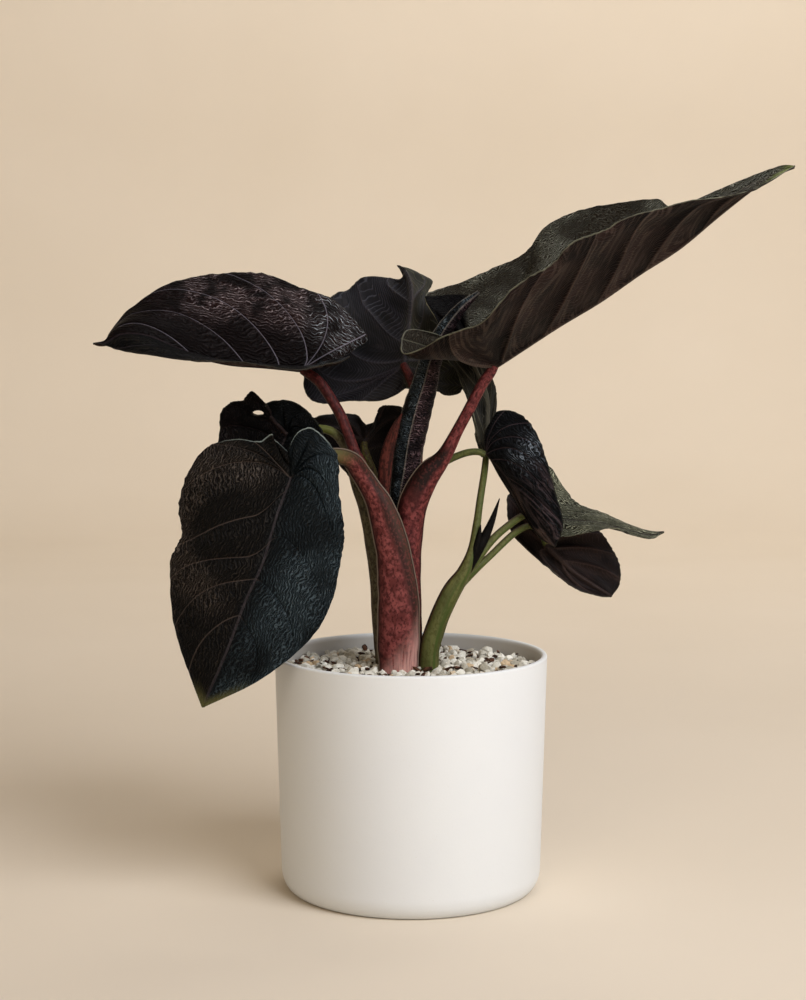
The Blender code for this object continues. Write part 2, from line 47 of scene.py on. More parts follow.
# Helpers for materials

# the nodes in use: type, settings, the inputs that take the values in turn, and the output
wiring = {
    "place": ("TexCoord", {}, (), "Object"),
    "kept": ("Attribute", {}, (), "Vector"),
    "keptNumber": ("Attribute", {}, (), "Fac"),
    "skin": ("UVMap", {"uv_map": "skin"}, (), 0),
    "stretch": ("Mapping", {}, ("Vector", "Scale"), 0),
    "split": ("SeparateXYZ", {}, (0,), slice(3)),
    "join": ("CombineXYZ", {}, (0, 1, 2), 0),
    "length": ("VectorMath", {"operation": "LENGTH"}, (0,), "Value"),
    "noise": ("TexNoise", {}, ("Vector", "Scale", "Detail"), 0),        # scale: 1000 / mm of a blob
    "cells": ("TexVoronoi", {}, ("Vector", "Scale"), "Distance"),
    # a band is 0 below its first limit and 1 above its second; swapped limits turn it round
    "band": ("MapRange", {"interpolation_type": "SMOOTHSTEP"}, ("Value", "From Min", "From Max"), 0),
    "range": ("MapRange", {}, ("Value", "To Min", "To Max"), 0),
    "blend": ("Mix", {"data_type": "RGBA"}, (0, 6, 7), 2),
    "bump": ("Bump", {}, ("Strength", "Distance", "Height"), 0),
    "times": ("Math", {"operation": "MULTIPLY"}, (0, 1), 0),
    "timesPlus": ("Math", {"operation": "MULTIPLY_ADD"}, (0, 1, 2), 0),
    "plus": ("Math", {"operation": "ADD"}, (0, 1), 0),
    "minus": ("Math", {"operation": "SUBTRACT"}, (0, 1), 0),
    "above": ("Math", {"operation": "GREATER_THAN"}, (0, 1), 0),
    "highest": ("Math", {"operation": "MAXIMUM"}, (0, 1), 0),
    "absolute": ("Math", {"operation": "ABSOLUTE"}, (0,), 0),
    "sine": ("Math", {"operation": "SINE"}, (0,), 0),
    "shader": ("BsdfPrincipled", {}, (), 0),
    "surface": ("OutputMaterial", {}, ("Surface",), None),
}


def linear(hexColour):
    # an sRGB hex colour as the linear values that shaders want
    parts = [int(hexColour[i:i + 2], 16) / 255 for i in (1, 3, 5)]
    return tuple(p / 12.92 if p <= 0.04045 else ((p + 0.055) / 1.055) ** 2.4 for p in parts) + (1.0,)


def addNode(tree, kind, *values, **named):
    # adds a node and gives back its output; a named value with a capital goes to an input,
    # any other to a setting
    nodeType, settings, inputs, output = wiring[kind]
    made = tree.nodes.new("ShaderNode" + nodeType)
    feeds = dict(zip(inputs, values))
    for name, value in {**settings, **named}.items():
        if name[0].isupper():
            feeds[name.replace("_", " ")] = value
        else:
            setattr(made, name, value)
    for name, value in feeds.items():
        if isinstance(value, bpy.types.NodeSocket):
            tree.links.new(value, made.inputs[name])
        else:
            made.inputs[name].default_value = value
    return None if output is None else made.outputs[output]


def newMaterial(name):
    # an empty material, and the function that adds nodes to it
    material = bpy.data.materials.new(name)
    material.use_nodes = True
    material.node_tree.nodes.clear()
    return material, partial(addNode, material.node_tree)


def finishMaterial(material, add, **inputs):
    add("surface", add("shader", **inputs))
    return material


# Helpers for curves and meshes; points and sizes are in millimetres until a mesh is finished

def along(points, place):
    # a spot of the smooth curve through the points, at a place from 0 to 1
    last = len(points) - 1
    place = min(max(place, 0.0), 1.0) * last
    index = min(int(place), last - 1)
    t = place - index
    p1 = points[index]
    p2 = points[index + 1]
    p0 = points[index - 1] if index else p1 * 2 - p2
    p3 = points[index + 2] if index + 2 <= last else p2 * 2 - p1
    return 0.5 * (2 * p1 + (p2 - p0) * t + (2 * p0 - 5 * p1 + 4 * p2 - p3) * t * t
                  + (3 * p1 - p0 - 3 * p2 + p3) * t * t * t)


def stepped(stops, place):
    # straight lines through (place, value) stops
    for (a, low), (b, high) in zip(stops, stops[1:]):
        if place <= b:
            return low + (high - low) * (place - a) / (b - a)
    return stops[-1][1]


def arc(x, z, radius, start, end, steps):
    turns = [math.radians(start + (end - start) * i / steps) for i in range(steps + 1)]
    return [(x + radius * math.cos(t), z + radius * math.sin(t)) for t in turns]


def spinProfile(profile, steps):
    bm = bmesh.new()
    verts = [bm.verts.new((x, 0, z)) for x, z in profile]
    edges = [bm.edges.new(pair) for pair in zip(verts, verts[1:])]
    bmesh.ops.spin(bm, geom=verts + edges, axis=(0, 0, 1), cent=(0, 0, 0), steps=steps,
                   angle=math.tau, use_merge=True)
    bmesh.ops.remove_doubles(bm, verts=bm.verts, dist=0.01)
    bmesh.ops.recalc_face_normals(bm, faces=bm.faces)
    return bm


def newObject(name, bm, materials):
    bmesh.ops.scale(bm, vec=(mm, mm, mm), verts=bm.verts)
    mesh = bpy.data.meshes.new(name)
    bm.to_mesh(mesh)
    bm.free()
    for material in materials:
        mesh.materials.append(material)
    made = bpy.data.objects.new(name, mesh)
    scene.collection.objects.link(made)
    return made


def addPiece(name, bm, materials, node=None, shell=None, sharpAngle=50):
    # a finished bmesh becomes a piece that takes the place of a node as built; shell thickens it
    piece = newObject(name, bm, materials)
    if shell:
        modifier = piece.modifiers.new("shell", "SOLIDIFY")
        if "vertex_group" in shell:
            piece.vertex_groups.new(name=shell["vertex_group"])
        for key, value in shell.items():
            setattr(modifier, key, value)
        graph = bpy.context.evaluated_depsgraph_get()
        solid = bpy.data.meshes.new_from_object(piece.evaluated_get(graph))
        piece.modifiers.clear()
        piece.data = solid
        solid.name = name
    piece.data.shade_smooth()
    piece.data.set_sharp_from_angle(angle=math.radians(sharpAngle))
    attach(piece, "root")
    if node:
        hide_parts(node)


# Camera: the fitted view of the photograph, 806 by 1000

cameraView = {
    "place": (-0.0044, -1.015, 0.299),      # m
    "tiltDown": 0.083,                      # radians
    "lens": 44.57,                          # mm, on the sensor's height
    "sensor": 24.0,
}


def addCamera():
    data = bpy.data.cameras.new("camera")
    data.sensor_fit = "VERTICAL"
    data.sensor_height = cameraView["sensor"]
    data.lens = cameraView["lens"]
    camera = bpy.data.objects.new("camera", data)
    camera.location = cameraView["place"]
    camera.rotation_euler = (math.pi / 2 - cameraView["tiltDown"], 0, 0)
    scene.collection.objects.link(camera)
    scene.camera = camera


addCamera()
print("camera placed")


# Studio: a round pale sweep, one big soft light at the front right, a wash on the paper and a weak fill

studio = {
    "floorRadius": 1900,        # mm
    "bendRadius": 700,
    "height": 2800,
    "paper": ("#d9cdba", "#e0d5c4"),
    # the places, aims and sizes of the lights are in m and their power is in W
    "lights": {
        "keySoftbox": {"place": (1.06, -1.22, 1.34), "aim": (0, 0, 0.10), "size": 1.5, "power": 43,
                       "colour": "#f6f8ff"},
        "backWash": {"place": (0.5, 1.2, 2.2), "aim": (0.5, 2.7, 0.7), "size": 1.6, "power": 30,
                     "colour": "#fffcfa"},
        "frontFill": {"place": (-0.35, -1.3, 0.95), "aim": (-0.05, -0.4, 0.0), "size": 0.8,
                      "power": 4.0, "colour": "#fff0dd"},
    },
    "ambient": ("#ffdfb8", 0.053),      # colour and strength
}


def sweepMaterial():
    # seamless background paper: dead matte, the faintest fibre
    material, add = newMaterial("background paper")
    fibre = add("noise", add("place"), 1000 / 330, 3.0)
    colour = add("blend", fibre, *[linear(tone) for tone in studio["paper"]])
    return finishMaterial(material, add, Base_Color=colour, Roughness=0.9, Specular_IOR_Level=0.1)


def addStudio():
    flat, bend = studio["floorRadius"], studio["bendRadius"]
    wall = [(flat + bend, studio["height"])]
    bm = spinProfile([(0, 0)] + arc(flat, bend, bend, -90, 0, 12) + wall, 64)
    bmesh.ops.reverse_faces(bm, faces=bm.faces)
    sweep = newObject("sweep", bm, [sweepMaterial()])
    sweep.data.shade_smooth()

    for name, light in studio["lights"].items():
        data = bpy.data.lights.new(name, "AREA")
        data.shape = "DISK"
        data.size = light["size"]
        data.energy = light["power"]
        data.color = linear(light["colour"])[:3]
        lamp = bpy.data.objects.new(name, data)
        lamp.location = light["place"]
        lamp.visible_camera = False
        aim = Vector(light["aim"]) - Vector(light["place"])
        lamp.rotation_euler = aim.to_track_quat("-Z", "Y").to_euler()
        scene.collection.objects.link(lamp)

    world = bpy.data.worlds.new("studio air")
    world.use_nodes = True
    colour, strength = studio["ambient"]
    world.node_tree.nodes["Background"].inputs[0].default_value = linear(colour)
    world.node_tree.nodes["Background"].inputs[1].default_value = strength
    scene.world = world
    scene.view_settings.view_transform = "Standard"


addStudio()
print("studio ready")


# Blades: the same spines and margins as the solids, with finer columns, veins and quilting

bladeGrid = {
    "step": 1.25,           # mm between columns and between rows
    "tissue": 0.7,          # mm thick between the veins
    "lateralWidth": 0.8,    # mm, how far a side vein's furrow and ridge reach
    "lateralDepth": 0.34,   # mm of the furrow in the upper face
    "lateralRidge": 0.55,   # mm of the ridge on the lower face
    "midribWidth": 1.7,
    "midribDepth": 0.55,
    "midribRidge": 1.5,
    "quilt": 0.75,          # mm that the tissue domes up between two side veins
    "margin": 0.3,          # mm that the edge rolls up
    "marginReach": 1.2,     # mm from the edge
    "edgeThin": 0.45,       # share of the thickness lost at the very edge
    "fullThickness": 3.0,   # mm at a vertex weight of 1
    "crowding": 0.06,       # how much the columns crowd at the veins
    "leaving": 0.22,        # share of the half width in which a side vein bends out of the midrib
    "crimp": (0.6, 7),      # mm up or down at the edge, mm from one to the next
    "uneven": (0.8, 5),     # mm in or out at the edge, mm from one to the next
}

# where a rib leaves the spine, against how far round the margin it ends:
# -1 is the notch, 0 the top of the stalk and 1 the tip
ribRoots = [(0.0, -1.0), (0.125, -0.45), (0.25, 0.0), (0.375, 0.0), (0.5, 0.10), (0.625, 0.28),
            (0.75, 0.50), (0.875, 0.74), (1.0, 1.0)]

# side veins as (place they leave the spine, place they reach the margin)
usualVeins = [(0, 0), (0.12, 0.10), (0.25, 0.26), (0.29, 0.40), (0.34, 0.53), (0.45, 0.65),
              (0.58, 0.76), (0.70, 0.86), (0.84, 0.94), (1, 1)]
smallVeins = [(0, 0), (0.12, 0.12), (0.27, 0.30), (0.34, 0.50), (0.50, 0.68), (0.68, 0.84), (1, 1)]

# looks of both faces where a blade says nothing else; a pair of tones is for its right and left half
usualNet = {
    "net": 1.7,                     # mm from one net vein to the next
    "curl": 7.0, "stray": 1.3,      # mm along a bend and out of line in it
    "chevron": 0.5,                 # how far the net veins lean
}
usualUpper = {
    **usualNet,
    "patches": 26.0,                # mm, how large the patches of painted glint are
    "lit": (-1.0, 2.0, -1.0),       # painted glints from and to a share of the margin, this far from the midrib
    "least": 0.15, "most": 0.9,     # strength of the painted glints outside and inside of that
    "thin": 0.84, "finer": 0.4,     # where a dome's painted glint starts, and how much the finer net's count
    "veinShow": 0.6,                # how much of the side veins' tone shows
    "ribShow": 0.6, "rib": "#37302f",
    "marginShow": (0.35, 2.0),      # how much of the edge's tone shows, up to a share of the margin
    "margin": "#35362f",
}
usualUnder = {
    **usualNet,
    "deep": 0.6,                    # how dark the darker patches are
    "streaks": 0.15, "bulgeHighlight": 0.12, "netShow": 0.3, "veinShow": 0.6, "rim": 0.25,   # how much each shows
    "shine": 0.10,
}

# Each blade has its spine from the notch over the top of the stalk to the tip, and from there its right
# and left margins, all in mm. Belly is the swell of the right and left half, wave the height and number
# of the ripples at the margin, scallops are (share of the margin, mm out), and hole is a middle with half
# of the width and height. Quilt and ridges scale what bladeGrid says. In the looks, veinStreaks is (how
# much shows, from which share of the margin), fold is (x, z) in mm, left of and below which the far lobe
# gets painted shade, and crease is (how dark the painted shade, how pale the painted light) between two side
# veins.

bladeLeft = {
    "spine": [(-49, 4, 291), (-59, 2, 286), (-79, -2, 288), (-101, -6, 290), (-122, -10, 296),
              (-141, -12, 304), (-155, -13, 305), (-164, -14, 300), (-171, -14, 300)],
    "right": [(-40, 9, 292), (-30, 12, 298), (-24, 15, 303), (-32, 19, 313), (-44, 22, 325),
              (-62, 23, 331), (-83, 24, 338.5), (-105, 23, 339), (-132, 18, 333), (-154, 8, 319),
              (-162.5, -3, 307), (-164.5, -11, 301)],
    "left": [(-45, -5, 288), (-37, -12, 290), (-33, -20, 293), (-39, -29, 290), (-49, -37, 287.2),
             (-62, -43, 286.8), (-83, -47, 288.6), (-105, -47, 291), (-129, -41, 292.3),
             (-149, -30, 295), (-161, -20, 298)],
    "belly": (4, 0.5), "wave": (0.8, 5),
    "rightVeins": [(0, 0), (0.12, 0.1), (0.26, 0.25), (0.31, 0.42), (0.36, 0.61), (0.49, 0.73),
                   (0.58, 0.84), (0.7, 0.92), (1, 1)],
    "leftVeins": [(0, 0), (0.12, 0.1), (0.26, 0.25), (0.31, 0.42), (0.36, 0.58), (0.49, 0.7),
                  (0.58, 0.82), (0.7, 0.9), (1, 1)],
    "upper": {"tint": ("#1e0f0d", "#080707"), "sheen": ("#a59698", "#343438"), "lobeSheen": "#aeb8be",
              "tipSheen": "#5a5c68", "veins": ("#7d7882", "#3a3436"), "dark": "#030303", "net": 2.6,
              "curl": 4.5, "stray": 1.3, "chevron": 0.45, "lit": (0.04, 0.7, 0.46), "least": 0.03,
              "most": 0.75, "thin": 0.95, "finer": 0.22, "patches": 13.0, "veinShow": 0.6,
              "rib": "#2c2426"},
    "under": {"tissue": "#1a0f0d", "veins": "#3a2420"},
}
bladeRight = {
    "spine": [(33, 2, 291), (45, 0, 288), (59, 1, 297), (81, 4, 311), (103, 6, 324), (125, 9, 339),
              (147, 11, 353), (169, 13, 371), (190, 15, 387), (203, 16, 394), (211, 16, 397)],
    "right": [(17.5, -10, 303), (-2, -24, 307), (-4, -34, 294.5), (14, -41, 301), (37, -44, 311),
              (55, -46, 329), (76, -44, 345), (94, -40, 355), (114, -34, 366), (146, -22, 375),
              (180, -2, 381)],
    "left": [(23, 12, 299), (14, 20, 314), (8, 28, 326), (16, 34, 330), (37, 38, 338), (62, 40, 349),
             (77, 41, 366), (105, 40, 377), (136, 33, 380), (147, 28, 376), (179, 22, 388),
             (202, 18, 397)],
    "belly": (-4, -3), "wave": (0.8, 7),
    "scallops": [(0.0, 0.0), (0.3, 0.8), (0.36, 2.3), (0.41, 0.4), (0.45, 3.6), (0.5, 0.1),
                 (0.53, -0.9), (0.565, -2.5), (0.583, -1.2), (0.592, 2.5), (0.628, 3.4), (0.68, 0.7),
                 (0.71, -0.4), (0.733, 0.7), (0.77, -1.4), (0.795, -3.6), (0.82, -1.5), (0.84, 0.0),
                 (0.86, -0.5), (0.88, -2.2), (0.92, -0.4), (0.935, 2.6), (0.96, 2.8), (1.0, 0.0)],
    "rightVeins": [(0, 0), (0.1, 0.08), (0.2, 0.2), (0.3, 0.36), (0.42, 0.555), (0.555, 0.68),
                   (0.65, 0.785), (0.725, 0.88), (0.81, 0.945), (1, 1)],
    "leftVeins": [(0, 0), (0.1, 0.08), (0.2, 0.2), (0.3, 0.34), (0.42, 0.5), (0.555, 0.62),
                  (0.65, 0.74), (0.725, 0.84), (0.81, 0.92), (1, 1)],
    "upper": {"tint": ("#2c2a23", "#24221a"), "sheen": ("#7d7b6d", "#8f9081"),
              "veins": ("#5a584a", "#26241c"), "dark": "#1b150f", "tip": "#6a7440", "margin": "#77766a",
              "marginShow": (0.6, 0.3), "net": 1.8, "curl": 3.5, "stray": 1.5, "lit": (0.3, 2.0, -1.0),
              "least": 0.14, "most": 0.68, "thin": 0.74, "finer": 0.8, "patches": 30.0,
              "fold": (31, 326)},
    "under": {"tissue": "#1e110f", "veins": "#54473e", "netShow": 0.2, "bulgeHighlight": 0.0,
              "crease": (0.68, 0.34), "rim": 0.5, "deep": 0.7, "streaks": 0.35, "veinShow": 0.35},
    "quilt": 4.5, "rim": "#6a6a58",
}
bladeBack = {
    "spine": [(-3, 24, 275), (-4, 23, 288), (-2, 28, 305), (0, 36, 322), (0, 46, 333), (-3, 53, 341),
              (-8, 56, 345)],
    "right": [(-9, 24, 271), (-18, 24, 268), (-34, 25, 268), (-52, 28, 267), (-60, 32, 275),
              (-58, 38, 298), (-46, 45, 325), (-36, 50, 331), (-28, 54, 338), (-14, 57, 338),
              (-5, 57, 337)],
    "left": [(5, 26, 274), (15, 26, 273), (22, 27, 271), (29, 30, 274), (30, 34, 285), (23, 42, 305),
             (14, 47, 318), (9, 51, 327), (13, 58, 336), (5, 60, 341), (-3, 59, 344)],
    "belly": (3, 2), "wave": (0.8, 5),
    "rightVeins": [(0, 0), (0.12, 0.1), (0.25, 0.22), (0.29, 0.36), (0.34, 0.49), (0.42, 0.6),
                   (0.53, 0.72), (0.7, 0.86), (1, 1)],
    "leftVeins": [(0, 0), (0.12, 0.1), (0.25, 0.24), (0.29, 0.36), (0.34, 0.46), (0.42, 0.56),
                  (0.53, 0.68), (0.7, 0.82), (1, 1)],
    "upper": {"tint": "#0e0e0e", "sheen": "#55565a", "dark": "#050505"},
    "under": {"tissue": ("#0d0c10", "#2a2a21"), "veins": "#353238", "netTone": ("#3f4048", "#55553f"),
              "netShow": 0.4, "net": 2.2, "curl": 9.0, "stray": 0.8, "chevron": 0.9, "veinShow": 0.5,
              "shine": 0.2, "rim": 0.4},
    "ridges": 0.5, "crimp": 0.25,
}
bladeFront = {
    "spine": [(-64, -46, 243), (-63, -48, 230), (-70, -54, 211), (-77, -59, 187), (-86, -62, 167),
              (-95, -63, 143), (-109, -60, 111)],
    "right": [(-70, -46, 249), (-73, -45, 253), (-80, -44, 249), (-92, -43, 250), (-107, -43, 246),
              (-117, -44, 232), (-122, -46, 214), (-120, -48, 200), (-126, -50, 185), (-124, -55, 155),
              (-115, -60, 128)],
    "left": [(-62, -46, 250), (-58, -45, 255), (-52, -43, 256), (-45, -41, 250), (-39, -39, 240),
             (-38, -38, 223), (-36, -40, 202), (-37, -43, 187), (-42, -47, 165), (-54, -52, 145),
             (-78, -58, 126)],
    "belly": (4, 4), "wave": (1.0, 5),
    "rightVeins": [(0, 0), (0.12, 0.1), (0.25, 0.27), (0.28, 0.4), (0.32, 0.545), (0.565, 0.7),
                   (0.68, 0.775), (0.745, 0.84), (0.83, 0.91), (1, 1)],
    "leftVeins": [(0, 0), (0.12, 0.1), (0.25, 0.27), (0.28, 0.42), (0.32, 0.58), (0.36, 0.67),
                  (0.61, 0.78), (0.735, 0.875), (0.84, 0.94), (1, 1)],
    "uneven": 0.9,
    "upper": {"tint": ("#0c0907", "#12191c"), "sheen": ("#5e5349", "#4d5d64"),
              "veins": ("#4c423c", "#030506"), "dark": "#040505", "tip": "#4c4a2c", "margin": "#8e9892",
              "marginShow": (0.6, 0.36), "net": 2.0, "curl": 3.2, "stray": 1.1, "chevron": 0.35,
              "lit": (0.36, 2.0, 0.22), "least": 0.09, "most": 0.46, "thin": 0.78, "finer": 0.6,
              "patches": 45.0, "rib": "#3c3638", "ribShow": 0.5},
    "under": {"tissue": "#1a0f0d", "veins": "#3a2420"},
    "rim": "#7d857e",
}
bladeBehindFront = {
    "spine": [(-81, -17, 261), (-67, -15, 251), (-75, -20, 232), (-83, -25, 211), (-93, -28, 190),
              (-106, -28, 167)],
    "right": [(-85, -18, 263), (-80, -20, 265), (-78, -21, 269), (-85, -21, 275), (-90, -20, 270),
              (-96, -20, 269), (-102, -21, 263), (-103, -22, 250), (-109, -24, 227), (-112, -27, 203),
              (-110, -29, 182)],
    "left": [(-78, -16, 263), (-78, -16, 268), (-70, -17, 270), (-61, -16, 268), (-52, -15, 260),
             (-47, -13, 250), (-48, -13, 237), (-51, -15, 220), (-60, -18, 203), (-72, -22, 187),
             (-88, -26, 174)],
    "belly": (2, 3), "wave": (0.8, 5), "hole": ((-82, -19, 263), (3.4, 1.7)),
    "upper": {"tint": ("#050202", "#020303"), "sheen": ("#1c1210", "#0c1113"), "dark": "#010101",
              "net": 1.2, "curl": 4.0, "most": 0.4, "veinShow": 0.3},
    "under": {"tissue": "#0e0908", "veins": "#241a18"},
}
bladeLowBack = {
    "spine": [(-25, 24, 255), (-26, 20, 245), (-24, 27, 232), (-21, 38, 217), (-13, 58, 193)],
    "right": [(-21, 25, 257), (-18, 25, 264), (-12, 24, 266), (-3, 24, 263), (3, 28, 246), (2, 36, 229),
              (-2, 44, 214), (-6, 52, 202)],
    "left": [(-27, 25, 257), (-31, 26, 261), (-43, 24, 261), (-55, 22, 258), (-52, 26, 246),
             (-41, 34, 232), (-32, 42, 218), (-25, 50, 205)],
    "belly": (3, 3), "wave": (0.8, 4), "veins": smallVeins,
    "upper": {"tint": ("#080706", "#080808"), "sheen": "#2c2927", "dark": "#030303"},
    "under": {"tissue": "#0d0908", "veins": "#261d1b"},
}
bladeStrip = {
    "spine": [(41, 17, 235), (41, 18, 238), (42, 20, 255), (42, 22, 270), (37, 26, 283), (31, 30, 295),
              (25, 32, 305)],
    "right": [(40, 16, 240), (36, 13, 249), (35, 12, 260), (31, 15, 273), (26, 19, 283), (21, 23, 291),
              (20, 28, 299)],
    "left": [(43, 21, 240), (46, 24, 249), (48, 28, 262), (48, 32, 273), (46, 34, 282), (40, 35, 292),
             (32, 34, 301)],
    "belly": (1, 1), "wave": (0.6, 3), "veins": smallVeins,
    "upper": {"tint": ("#1f1f18", "#1b1b15"), "sheen": "#6c6d5c", "dark": "#10100c", "net": 1.4,
              "curl": 5.0, "most": 0.6},
    "under": {"tissue": "#1b1a15", "veins": "#514e42", "netShow": 0.5},
    "rim": "#6a6a58",
}
bladeFolded = {
    "spine": [(43, 9, 246), (41, 8, 239), (49, 6, 231), (58, 4, 219), (67, 4, 205), (75, 6, 195),
              (80, 8, 188)],
    "right": [(45, 12, 249), (48, 14, 246), (51, 14, 234), (54, 12, 222), (60, 11, 211), (65, 10, 201),
              (73, 9, 192)],
    "left": [(45, 8, 254), (48, 6, 263), (59, 2, 262), (68, -1, 253), (74, -2, 237), (80, 0, 217),
             (84, 3, 201)],
    "belly": (1, 4), "wave": (0.8, 4),
    "veins": [(0, 0), (0.12, 0.12), (0.24, 0.3), (0.27, 0.46), (0.31, 0.6), (0.38, 0.72), (0.48, 0.82),
              (0.62, 0.91), (1, 1)],
    "upper": {"tint": ("#140e0c", "#040404"), "sheen": ("#5a4640", "#98a6b4"),
              "veins": ("#5c4c45", "#54474a"), "dark": "#040405", "net": 1.6, "curl": 4.0, "stray": 1.1,
              "lit": (0.5, 0.6, 0.3), "least": 0.03, "most": 0.5, "veinShow": 0.38, "finer": 0.25,
              "veinStreaks": (0.5, 0.66)},
    "under": {"tissue": "#1b1312", "veins": "#6a564c", "netShow": 0.5},
}
bladeCurled = {
    "spine": [(66, 20, 213), (68, 18, 206), (83, 18, 202), (100, 18, 201), (117, 19, 197),
              (133, 20, 193), (142, 20, 195)],
    "right": [(67, 14, 201), (72, 12, 195), (85, 10, 193), (100, 10, 196), (113, 12, 197),
              (125, 16, 193), (135, 18, 191)],
    "left": [(67, 22, 221), (76, 24, 232), (85, 26, 221), (94, 26, 210), (109, 25, 205), (123, 24, 198),
             (135, 22, 195)],
    "belly": (1, 2), "wave": (0.5, 4), "veins": smallVeins,
    "upper": {"tint": ("#29291f", "#27271e"), "sheen": "#a3a58b", "veins": "#5c5c4e", "dark": "#14140e",
              "net": 1.7, "curl": 4.0, "stray": 1.4, "thin": 0.74, "least": 0.45, "most": 0.85,
              "finer": 0.7},
    "under": {"tissue": "#241f18", "veins": "#55513f", "rim": 0.3},
    "rim": "#6a6a58",
}
bladeLowest = {
    "spine": [(72, 25, 201), (76, 24, 187), (84, 25, 179), (94, 27, 170), (114, 30, 157)],
    "right": [(81, 30, 208), (91, 34, 203), (102, 36, 198), (109, 36, 192), (115, 36, 184),
              (119, 35, 174), (119, 33, 164)],
    "left": [(66, 27, 212), (56, 28, 216), (54, 26, 208), (58, 22, 193), (75, 20, 176), (93, 22, 163),
             (106, 26, 158)],
    "belly": (2, 2), "wave": (0.8, 4), "veins": smallVeins,
    "upper": {"tint": "#0f0b0a", "sheen": "#3a3031", "dark": "#050404"},
    "under": {"tissue": "#181010", "veins": "#3c302c", "netShow": 0.4, "rim": 0.2,
              "crease": (0.6, 0.25), "veinShow": 0.4},
    "quilt": 2.2,
}


def halves(tones):
    # the linear colours of the right and left half; one tone does for both
    right, left = (tones, tones) if isinstance(tones, str) else tones
    return linear(right), linear(left)


def leafPlaces(add):
    # distances in mm that the blade's points keep, and how far round and across they lie
    vein = add("kept", attribute_name="vein")
    return add("split", vein) + add("split", add("kept", attribute_name="edge"))


def netLines(add, place, offLateral, upRib, look, share=1.0):
    # net veins cross from one side vein to the next and fork: 0 on a vein, 1 on the dome between
    wander = add("noise", place, 1000 / (look["curl"] * share), 2.5)
    netPlace = add("timesPlus", wander, 5 * look["stray"] * share,
                   add("timesPlus", offLateral, look["chevron"], upRib))
    return add("absolute", add("sine", add("times", netPlace, math.pi / (look["net"] * share))))


def ribStreaks(add, offLateral, upRib, side, wide):
    # long thin streaks beside the side veins, not the same on both halves
    layer = add("timesPlus", wide, 0.008, add("above", side, 0.0))
    spot = add("join", add("times", offLateral, mm), add("times", upRib, 0.1 * mm), layer)
    return add("band", add("noise", spot, 1000 / 1.8), 0.46, 0.66)


def leafUpperMaterial(name, look):
    # elephant ear leaf, upper face: near-black wax with painted glints where it domes between fine net veins
    material, add = newMaterial(name)
    look = {**usualUpper, **look}
    place = add("place")
    offLateral, upRib, offMidrib, where, offMargin, side = leafPlaces(add)
    dome = netLines(add, place, offLateral, upRib, look)
    finer = netLines(add, place, offLateral, upRib, look, 0.45)
    wide = add("noise", place, 1000 / look["patches"])
    spots = add("noise", place, 1000 / 2.6)
    height = add("timesPlus", finer, 0.35, add("times", dome, add("band", offLateral, 0.1, 0.7)))

    half = add("band", side, -0.12, 0.12)
    sheen = add("blend", half, *halves(look["sheen"]))
    # the painted sheen takes other tones at the lobes and towards the tip
    if "lobeSheen" in look:
        sheen = add("blend", add("band", where, 0.46, 0.38), sheen, linear(look["lobeSheen"]))
    if "tipSheen" in look:
        sheen = add("blend", add("band", where, 0.62, 0.78), sheen, linear(look["tipSheen"]))

    # painted glints on the part of the blade that faces the light, from one share of the margin to another
    low, high, out = look["lit"]
    lit = add("times", add("band", where, low - 0.07, low + 0.07),
              add("band", where, high + 0.07, high - 0.07))
    lit = add("times", lit, add("band", add("absolute", side), out - 0.2, out + 0.2))
    lit = add("times", lit, add("band", wide, 0.38, 0.58))
    # painted light: the tissue shows its tint most in the lit part, and the dark tone elsewhere
    tissue = add("times", add("timesPlus", lit, 0.8, 0.2), add("timesPlus", finer, 0.6, 0.4))
    colour = add("blend", tissue, linear(look["dark"]), add("blend", half, *halves(look["tint"])))
    # painted highlights: the sheen tone on the crests of the domes, strongest in the lit part
    coarse = add("times", add("band", dome, look["thin"], 1.0), add("band", spots, 0.40, 0.58))
    small = add("times", add("band", finer, 0.76, 1.0), add("band", spots, 0.64, 0.46))
    crest = add("highest", coarse, add("times", small, look["finer"]))
    crest = add("times", crest, add("range", lit, look["least"], look["most"]))
    colour = add("blend", crest, colour, sheen)

    veinTone = add("blend", half, *halves(look.get("veins", look["sheen"])))
    if "veinStreaks" in look:
        # streaks run beside the veins from one share of the margin on
        share, start = look["veinStreaks"]
        share = add("times", add("band", where, start - 0.1, start + 0.1), share)
        streaks = ribStreaks(add, offLateral, upRib, side, wide)
        colour = add("blend", add("times", share, streaks), colour, veinTone)
    vein = add("times", add("band", offLateral, 0.45, 0.18), look["veinShow"])
    colour = add("blend", vein, colour, veinTone)
    rib = add("times", add("band", offMidrib, 0.9, 0.4), look["ribShow"])
    colour = add("blend", rib, colour, linear(look["rib"]))
    show, marginTo = look["marginShow"]
    edging = add("times", add("band", offMargin, 0.9, 0.45),
                 add("band", where, marginTo + 0.05, marginTo - 0.05))
    colour = add("blend", add("times", edging, show), colour, linear(look["margin"]))
    if "tip" in look:
        end = add("times", add("band", where, 0.92, 0.99), add("band", offMargin, 6.0, 0.5))
        colour = add("blend", end, colour, linear(look["tip"]))
    if "fold" in look:
        # painted shade: beyond its crease the far lobe is painted near-black, where it hangs in the shade
        right, top = look["fold"]
        spot = add("split", place)
        bent = add("timesPlus", wide, 0.012, spot[2])
        beyond = add("times", add("band", spot[0], (right + 2) * mm, (right - 2) * mm),
                     add("band", bent, (top + 6.4) * mm, (top + 5.6) * mm))
        beyond = add("times", beyond, half)
        colour = add("blend", beyond, colour, linear("#060506"))
        crest = add("times", add("minus", 1.0, beyond), crest)
    return finishMaterial(material, add, Base_Color=colour, Roughness=add("range", wide, 0.36, 0.5),
                          IOR=1.45, Specular_IOR_Level=add("range", crest, 0.05, 0.5),
                          Normal=add("bump", 1.0, 0.0004, height))


